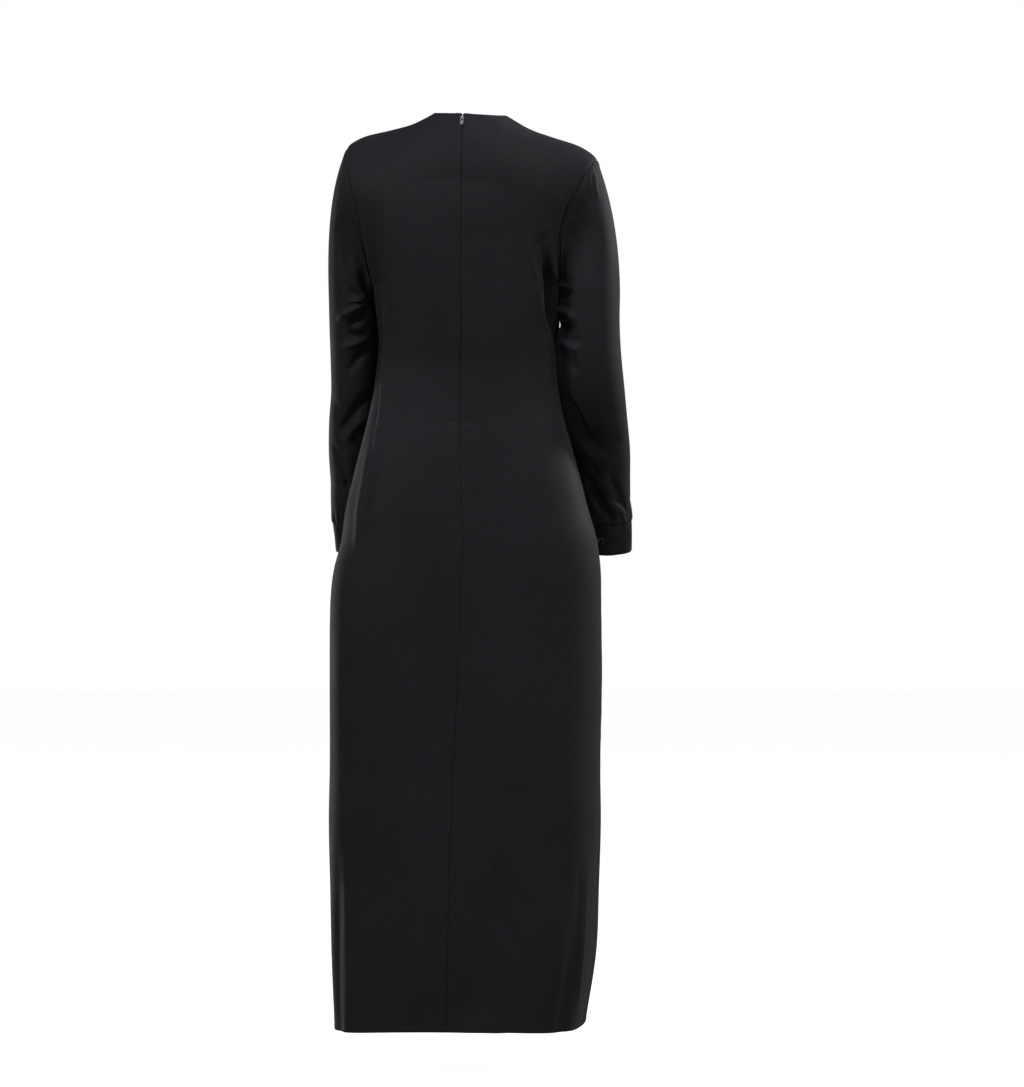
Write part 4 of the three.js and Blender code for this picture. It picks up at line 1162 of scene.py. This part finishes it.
back_shares = shares_round("back", BODY_STEP)
front_shares = shares_round("front", FRONT_STEP)
back_levels = body_levels(BODY_STEP)
front_levels = body_levels(FRONT_STEP)

body = {}
for side_name, side in SIDES.items():
    body["back", side_name] = body_half("back", side, back_shares, back_levels)
    body["front", side_name] = body_half("front", side, front_shares, front_levels)


def add_back(side_name, side):
    outer, inner = body["back", side_name][:2]
    if side < 0:
        outer, inner = outer[:, ::-1], inner[:, ::-1]
    piece = cloth_mesh(f"back_{side_name}_cloth", outer, inner)
    finish_piece(piece, crepe, [f"back_{side_name}"])


for side_name, side in SIDES.items():
    add_back(side_name, side)

# The front is cut on the fold: right half from the side in, then the left half out
front_outer, front_inner = (
    np.concatenate([right[:, ::-1], left[:, 1:]], axis=1)
    for right, left in zip(body["front", "right"][:2], body["front", "left"][:2])
)
front_cloth = cloth_mesh("front_cloth", front_outer, front_inner)
finish_piece(front_cloth, crepe, ["front"])

hem_lines = [
    line_along(outer, normals, along_columns(outer), HEM_STITCHES_AT)
    for outer, _, normals in body.values()
]
add_stitches("hem_stitches", hem_lines, HEM_THREAD)

# Sleeves and cuffs

# How far above and below a section the arm's direction is taken
ARM_SPAN = 6

# The share of a body half that lies just inside its armhole, and the steps down the cap
BESIDE_ARMHOLE = 8 / 9
CAP_START = (0, 0.004, 0.009, 0.016, 0.025, 0.037, 0.052)
CAP_REST = 0.07


def arm_sections(arm, side, height):
    """Sections across an arm at heights of its middle line."""
    heights = [row[0] for row in arm[1:]]
    row = read_table(arm, "height", height)
    above = read_table(arm, "height", np.minimum(height + ARM_SPAN, heights[0]))
    below = read_table(arm, "height", np.maximum(height - ARM_SPAN, heights[-1]))
    centre = np.stack([row["x"], row["y"], row["height"]], axis=-1)
    down = unit(np.stack([below[name] - above[name] for name in ("x", "y", "height")], axis=-1))
    across = np.array([side, 0.0, 0.0])
    out = unit(across - down * (side * down[..., :1]))
    behind = np.array([0.0, -1.0, 0.0])
    back = behind + down * down[..., 1:2]
    back = unit(back - out * np.sum(back * out, axis=-1, keepdims=True))
    return {
        "centre": centre,
        "down": down,
        "out": out,
        "back": back,
        "across": row["across"],
        "deep": row["deep"],
    }


def on_section(section, turn, lift=0.0):
    cos, sin = np.cos(np.radians(turn)), np.sin(np.radians(turn))
    normal = unit(np.stack(np.broadcast_arrays(cos / section["across"], sin / section["deep"]), axis=-1))
    return (
        section["centre"]
        + section["out"] * (section["across"] * cos + lift * normal[..., 0])[..., None]
        + section["back"] * (section["deep"] * sin + lift * normal[..., 1])[..., None]
    )


def spread_section(section):
    """The same sections with an axis for the turns round them."""
    return {
        name: value[:, None] if value.ndim == 1 else value[:, None, :]
        for name, value in section.items()
    }


def sleeve_to_mm(turn, height):
    return turn * DEGREE_OF_SLEEVE


def sleeve_fold(folds, turn, height):
    lift = 0
    for fold in rows_of(folds):
        length = fold["top"] - fold["bottom"]
        along = fold["top"] - height
        centre = mix(fold["top_turn"], fold["bottom_turn"], np.clip(along / length, 0, 1))
        swing = abs(fold["bottom_turn"] - fold["top_turn"]) * DEGREE_OF_SLEEVE
        offset = (turn - centre) * DEGREE_OF_SLEEVE * math.cos(math.atan2(swing, length))
        lift = lift + fold["height"] * np.exp(-((offset / fold["width"]) ** 2)) * fold_ends(along, length)
    return lift


def gathers(turn, height, end, side):
    """Gathers that rise towards the cuff, uneven in place and size."""
    share = smooth(1 - (height - end) / GATHER_RUN)
    bent = turn + 5 * np.sin(np.radians(3 * turn + 40 * side)) + 3 * np.sin(np.radians(7 * turn))
    large = 0.5 + 0.5 * np.cos(np.radians(bent * GATHERS))
    swell = 0.75 + 0.25 * np.sin(np.radians(2 * turn + 70))
    return share * GATHER_HEIGHT * large * swell


def armhole_edge(side, turn, share):
    """Places round the armhole, or at a smaller share a little way in from it."""
    level_back = 3 - turn / 90
    level_front = 1 + (turn - 180) / 90
    back = body_points("back", side, share, np.clip(level_back, 1, 3))
    front = body_points("front", side, share, np.clip(level_front, 1, 3))
    return np.where((turn <= 180)[:, None], back, front)


def sleeve_grids(side_name, side):
    """The outside and inside of a sleeve: its cap on curves from the armhole, then its tube."""
    arm = ARMS[side_name]
    start, end = arm[1][0], arm[-2][0]
    turn = np.arange(LOOP_COLUMNS) * 360 / LOOP_COLUMNS
    edge = armhole_edge(side, turn, 1.0)
    outward = unit(edge - armhole_edge(side, turn, BESIDE_ARMHOLE))
    over = np.cos(np.radians(turn))[:, None]
    under = smooth((-over - 0.1) / 0.75)
    drop = mix(0.35, 1.7, smooth(over))
    sideways = np.array([side, 0.0, 0.0])
    first = {name: value[0] for name, value in arm_sections(arm, side, np.array([start])).items()}
    to = on_section(first, turn)
    since = edge + outward * SEAM_GAP / 2 + sideways * under * SEAM_GAP
    reach = np.linalg.norm(to - since, axis=1, keepdims=True)
    leave = unit(outward * (1 - under) + np.array([0.1 * side, 0, -1]) * mix(drop, 1, under))
    t = np.concatenate([CAP_START, np.linspace(CAP_REST, 1, CAP_ROWS)])[:, None, None]
    handle_a = since + leave * reach / 3
    handle_b = to - first["down"] * reach / 3
    cap = (
        (1 - t) ** 3 * since
        + 3 * (1 - t) ** 2 * t * handle_a
        + 3 * (1 - t) * t**2 * handle_b
        + t**3 * to
    )

    below = steps_with_close_ends(start - end, SLEEVE_STEP, (SLEEVE_STEP,), BESIDE_SEAM[:-1])
    heights = start - below[1:]
    section = spread_section(arm_sections(arm, side, heights))
    turns, levels = np.meshgrid(turn, heights)
    tube = on_section(section, turns, sleeve_fold(SLEEVE_FOLDS[side_name], turns, levels))
    base = np.concatenate([cap, tube])
    normals = grid_normals(base, closed=True) * side

    turns = np.broadcast_to(turn, base.shape[:2])
    height = np.concatenate([cap[..., 2], levels])
    from_top = along_columns(base)
    from_cuff = from_top[-1:] - from_top
    u = turns * DEGREE_OF_SLEEVE
    lift = crease_lift(SLEEVE_CREASES[side_name], u, height, sleeve_to_mm, 360 * DEGREE_OF_SLEEVE)
    lift = lift + SLEEVE_DRAPE * drape(50 * np.sin(np.radians(turns)), height, 2.0 + side)
    lift = lift * smooth((from_top - 1) / 11) * smooth((from_cuff - 1) / 12)
    lift = lift + gathers(turns, height, end, side)
    upper = 0.5 + 0.5 * np.cos(np.radians(turns))
    lift = lift + seam_form("armhole", from_top)
    cap_pucker = pucker(turns * 1.2, SEAMS["armhole"]["pace"], 4 + side)
    lift = lift + upper * cap_pucker * beside_seam("armhole", from_top)
    lift = lift + groove(from_cuff, *SEAMS["cuff"]["groove"])
    outer = base + normals * lift[..., None]
    inner = base + normals * (lift - WALL)[..., None]
    return outer, inner


def add_sleeve(side_name, side):
    outer, inner = sleeve_grids(side_name, side)
    if side > 0:
        outer, inner = outer[::-1], inner[::-1]
    else:
        outer, inner = outer[::-1, ::-1], inner[::-1, ::-1]
    piece = cloth_mesh(f"sleeve_{side_name}_cloth", outer, inner, closed=True)
    finish_piece(piece, crepe, [f"sleeve_{side_name}"])


def cuff_points(side_name, side, turn, height):
    """A straight band round the wrist whose outer end lies over its inner end."""
    section = arm_sections(ARMS[side_name], side, height)
    over = smooth((turn - 360 - LAP_START + LAP_RAMP) / LAP_RAMP)
    return on_section(section, turn, over * LAP_RISE)


def cuff_grids(side_name, side):
    """The outside and inside of a cuff, with a rounded corner on its outer end."""
    arm = ARMS[side_name]
    top_height, bottom_height = arm[-2][0], arm[-1][0]
    down = arm_sections(arm, side, np.array([float(top_height)]))["down"][0]
    top = top_height - (SEAM_GAP + 0.05) * abs(down[2])
    turns = np.linspace(LAP_START, 360 + LAP_END, CUFF_COLUMNS)
    run = top - bottom_height
    drops = steps_with_close_ends(run, CUFF_STEP, BESIDE_CUFF)
    share = drops / run
    from_end = (turns[-1] - turns) * DEGREE_OF_CUFF
    inside = np.clip(CUFF_CORNER - from_end, 0, CUFF_CORNER)
    corner = CUFF_CORNER - np.sqrt(CUFF_CORNER**2 - inside**2)
    depth = share[:, None] * (run - corner[None, :])
    turn, height = np.broadcast_arrays(turns[None, :], top - depth)
    base = cuff_points(side_name, side, turn, height)
    normals = grid_normals(base) * side
    from_top = depth
    from_bottom = (run - corner)[None, :] - depth
    lift = groove(from_top, 0.5, 0.8) + groove(from_bottom, 0.6, 0.9)
    for distance in (from_bottom, from_top, np.broadcast_to(from_end, depth.shape)):
        lift = lift + groove(distance - CUFF_STITCHES_AT, *CUFF_STITCH_GROOVE)
    lift = lift + 0.35 * np.sin(turn / 9 + side) * np.sin(height / 11)
    outer = base + normals * lift[..., None]
    inner = base + normals * (lift - CUFF_WALL)[..., None]
    return outer, inner


def add_cuff(side_name, side):
    outer, inner = cuff_grids(side_name, side)
    if side > 0:
        outer, inner = outer[::-1], inner[::-1]
    else:
        outer, inner = outer[::-1, ::-1], inner[::-1, ::-1]
    piece = cloth_mesh(f"cuff_{side_name}_band", outer, inner)
    finish_piece(piece, crepe, [f"cuff_{side_name}"])
    away = grid_normals(outer)
    if ((outer - inner) * away).sum() < 0:
        away = -away
    lines = [
        line_along(grid, sides, along_columns(grid), CUFF_STITCHES_AT)
        for grid, sides in ((outer, away), (outer[::-1], away[::-1]))
    ]
    add_stitches(f"cuff_{side_name}_stitches", lines, CUFF_THREAD)


for side_name, side in SIDES.items():
    add_sleeve(side_name, side)
    add_cuff(side_name, side)

# Small hard parts keep their own form
for node, material in {
    "button_left": button_gloss,
    "button_right": button_gloss,
    "zip_tape_left": tape_cloth,
    "zip_tape_right": tape_cloth,
    "zip_chain": zip_coil,
    "zip_stop": zip_enamel,
    "zip_slider": zip_enamel,
    "zip_pull": zip_enamel,
}.items():
    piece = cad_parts[node]
    piece.data.materials.clear()
    piece.data.materials.append(material)

# Floor, light and camera

AIM = Vector((-0.01, 0.0, -0.68))
FLOOR_DARK = (0.26, 0.26, 0.26)
FLOOR_PALE = (0.30, 0.30, 0.30)

# How bright the camera sees the floor and the surround, and how much light the latter gives
FLOOR_SEEN = 0.97
SURROUND_SEEN = 1.0
SURROUND_LIGHT = 0.03


def floor_material():
    material, tree, shader = start_material(
        "pale_floor", {"Roughness": 0.85, "Emission Color": (1, 1, 1, 1)}
    )
    seen = tree.nodes.new("ShaderNodeLightPath").outputs["Is Camera Ray"]
    tree.links.new(map_range(tree, seen, 0, 1, 0.0, FLOOR_SEEN), shader.inputs["Emission Strength"])
    patches_and_highlight = use_group(tree, PATCHES_AND_EDGE_HIGHLIGHT, {"Patches per Metre": 1.5})
    colour = blend_colours(tree, patches_and_highlight.outputs["Patch"], FLOOR_DARK, FLOOR_PALE)
    tree.links.new(colour, shader.inputs["Base Color"])
    return material


floor_mesh = bpy.data.meshes.new("floor")
floor_form = bmesh.new()
bmesh.ops.create_circle(floor_form, cap_ends=True, segments=96, radius=FLOOR_RADIUS * MM)
bmesh.ops.translate(floor_form, verts=floor_form.verts, vec=(0, 0, FLOOR_HEIGHT * MM))
floor_form.to_mesh(floor_mesh)
floor_form.free()
floor = bpy.data.objects.new("floor", floor_mesh)
floor.data.materials.append(floor_material())
bpy.context.scene.collection.objects.link(floor)


def soft_light(name, place, size, watts):
    lamp = bpy.data.lights.new(name, "AREA")
    lamp.shape = "RECTANGLE"
    lamp.size, lamp.size_y = size
    lamp.energy = watts
    light = bpy.data.objects.new(name, lamp)
    light.location = place
    light.rotation_euler = (AIM - Vector(place)).to_track_quat("-Z", "Y").to_euler()
    bpy.context.scene.collection.objects.link(light)


soft_light("left_upper", (-2.8, -1.9, 1.4), (0.9, 0.9), 78)
soft_light("right_side", (3.4, -1.1, 0.9), (1.0, 1.8), 44)
soft_light("overhead", (0.6, -1.6, 3.1), (1.2, 0.9), 102)
soft_light("low_front", (0.9, -4.3, -0.5), (1.2, 0.9), 19)
soft_light("left_rim", (-2.2, 2.4, -0.9), (0.4, 1.6), 30)
soft_light("right_rim", (2.5, 1.4, 0.8), (0.4, 1.2), 60)

world = bpy.data.worlds.new("white_surround")
world.use_nodes = True
bpy.context.scene.world = world
sky = world.node_tree
background = sky.nodes["Background"]
background.inputs["Color"].default_value = (1, 1, 1, 1)
seen = sky.nodes.new("ShaderNodeLightPath").outputs["Is Camera Ray"]
strength = map_range(sky, seen, 0, 1, SURROUND_LIGHT, SURROUND_SEEN)
sky.links.new(strength, background.inputs["Strength"])
bpy.context.scene.view_settings.view_transform = "Standard"

camera_data = bpy.data.cameras.new("camera")
camera_data.sensor_fit = "HORIZONTAL"
camera_data.angle_x = 2 * math.atan(PICTURE_WIDTH / 2 / -CAMERA_PLACE[1])
camera = bpy.data.objects.new("camera", camera_data)
camera.location = Vector(CAMERA_PLACE) * MM
camera.rotation_euler = (math.radians(90), 0, 0)
bpy.context.scene.collection.objects.link(camera)
bpy.context.scene.camera = camera
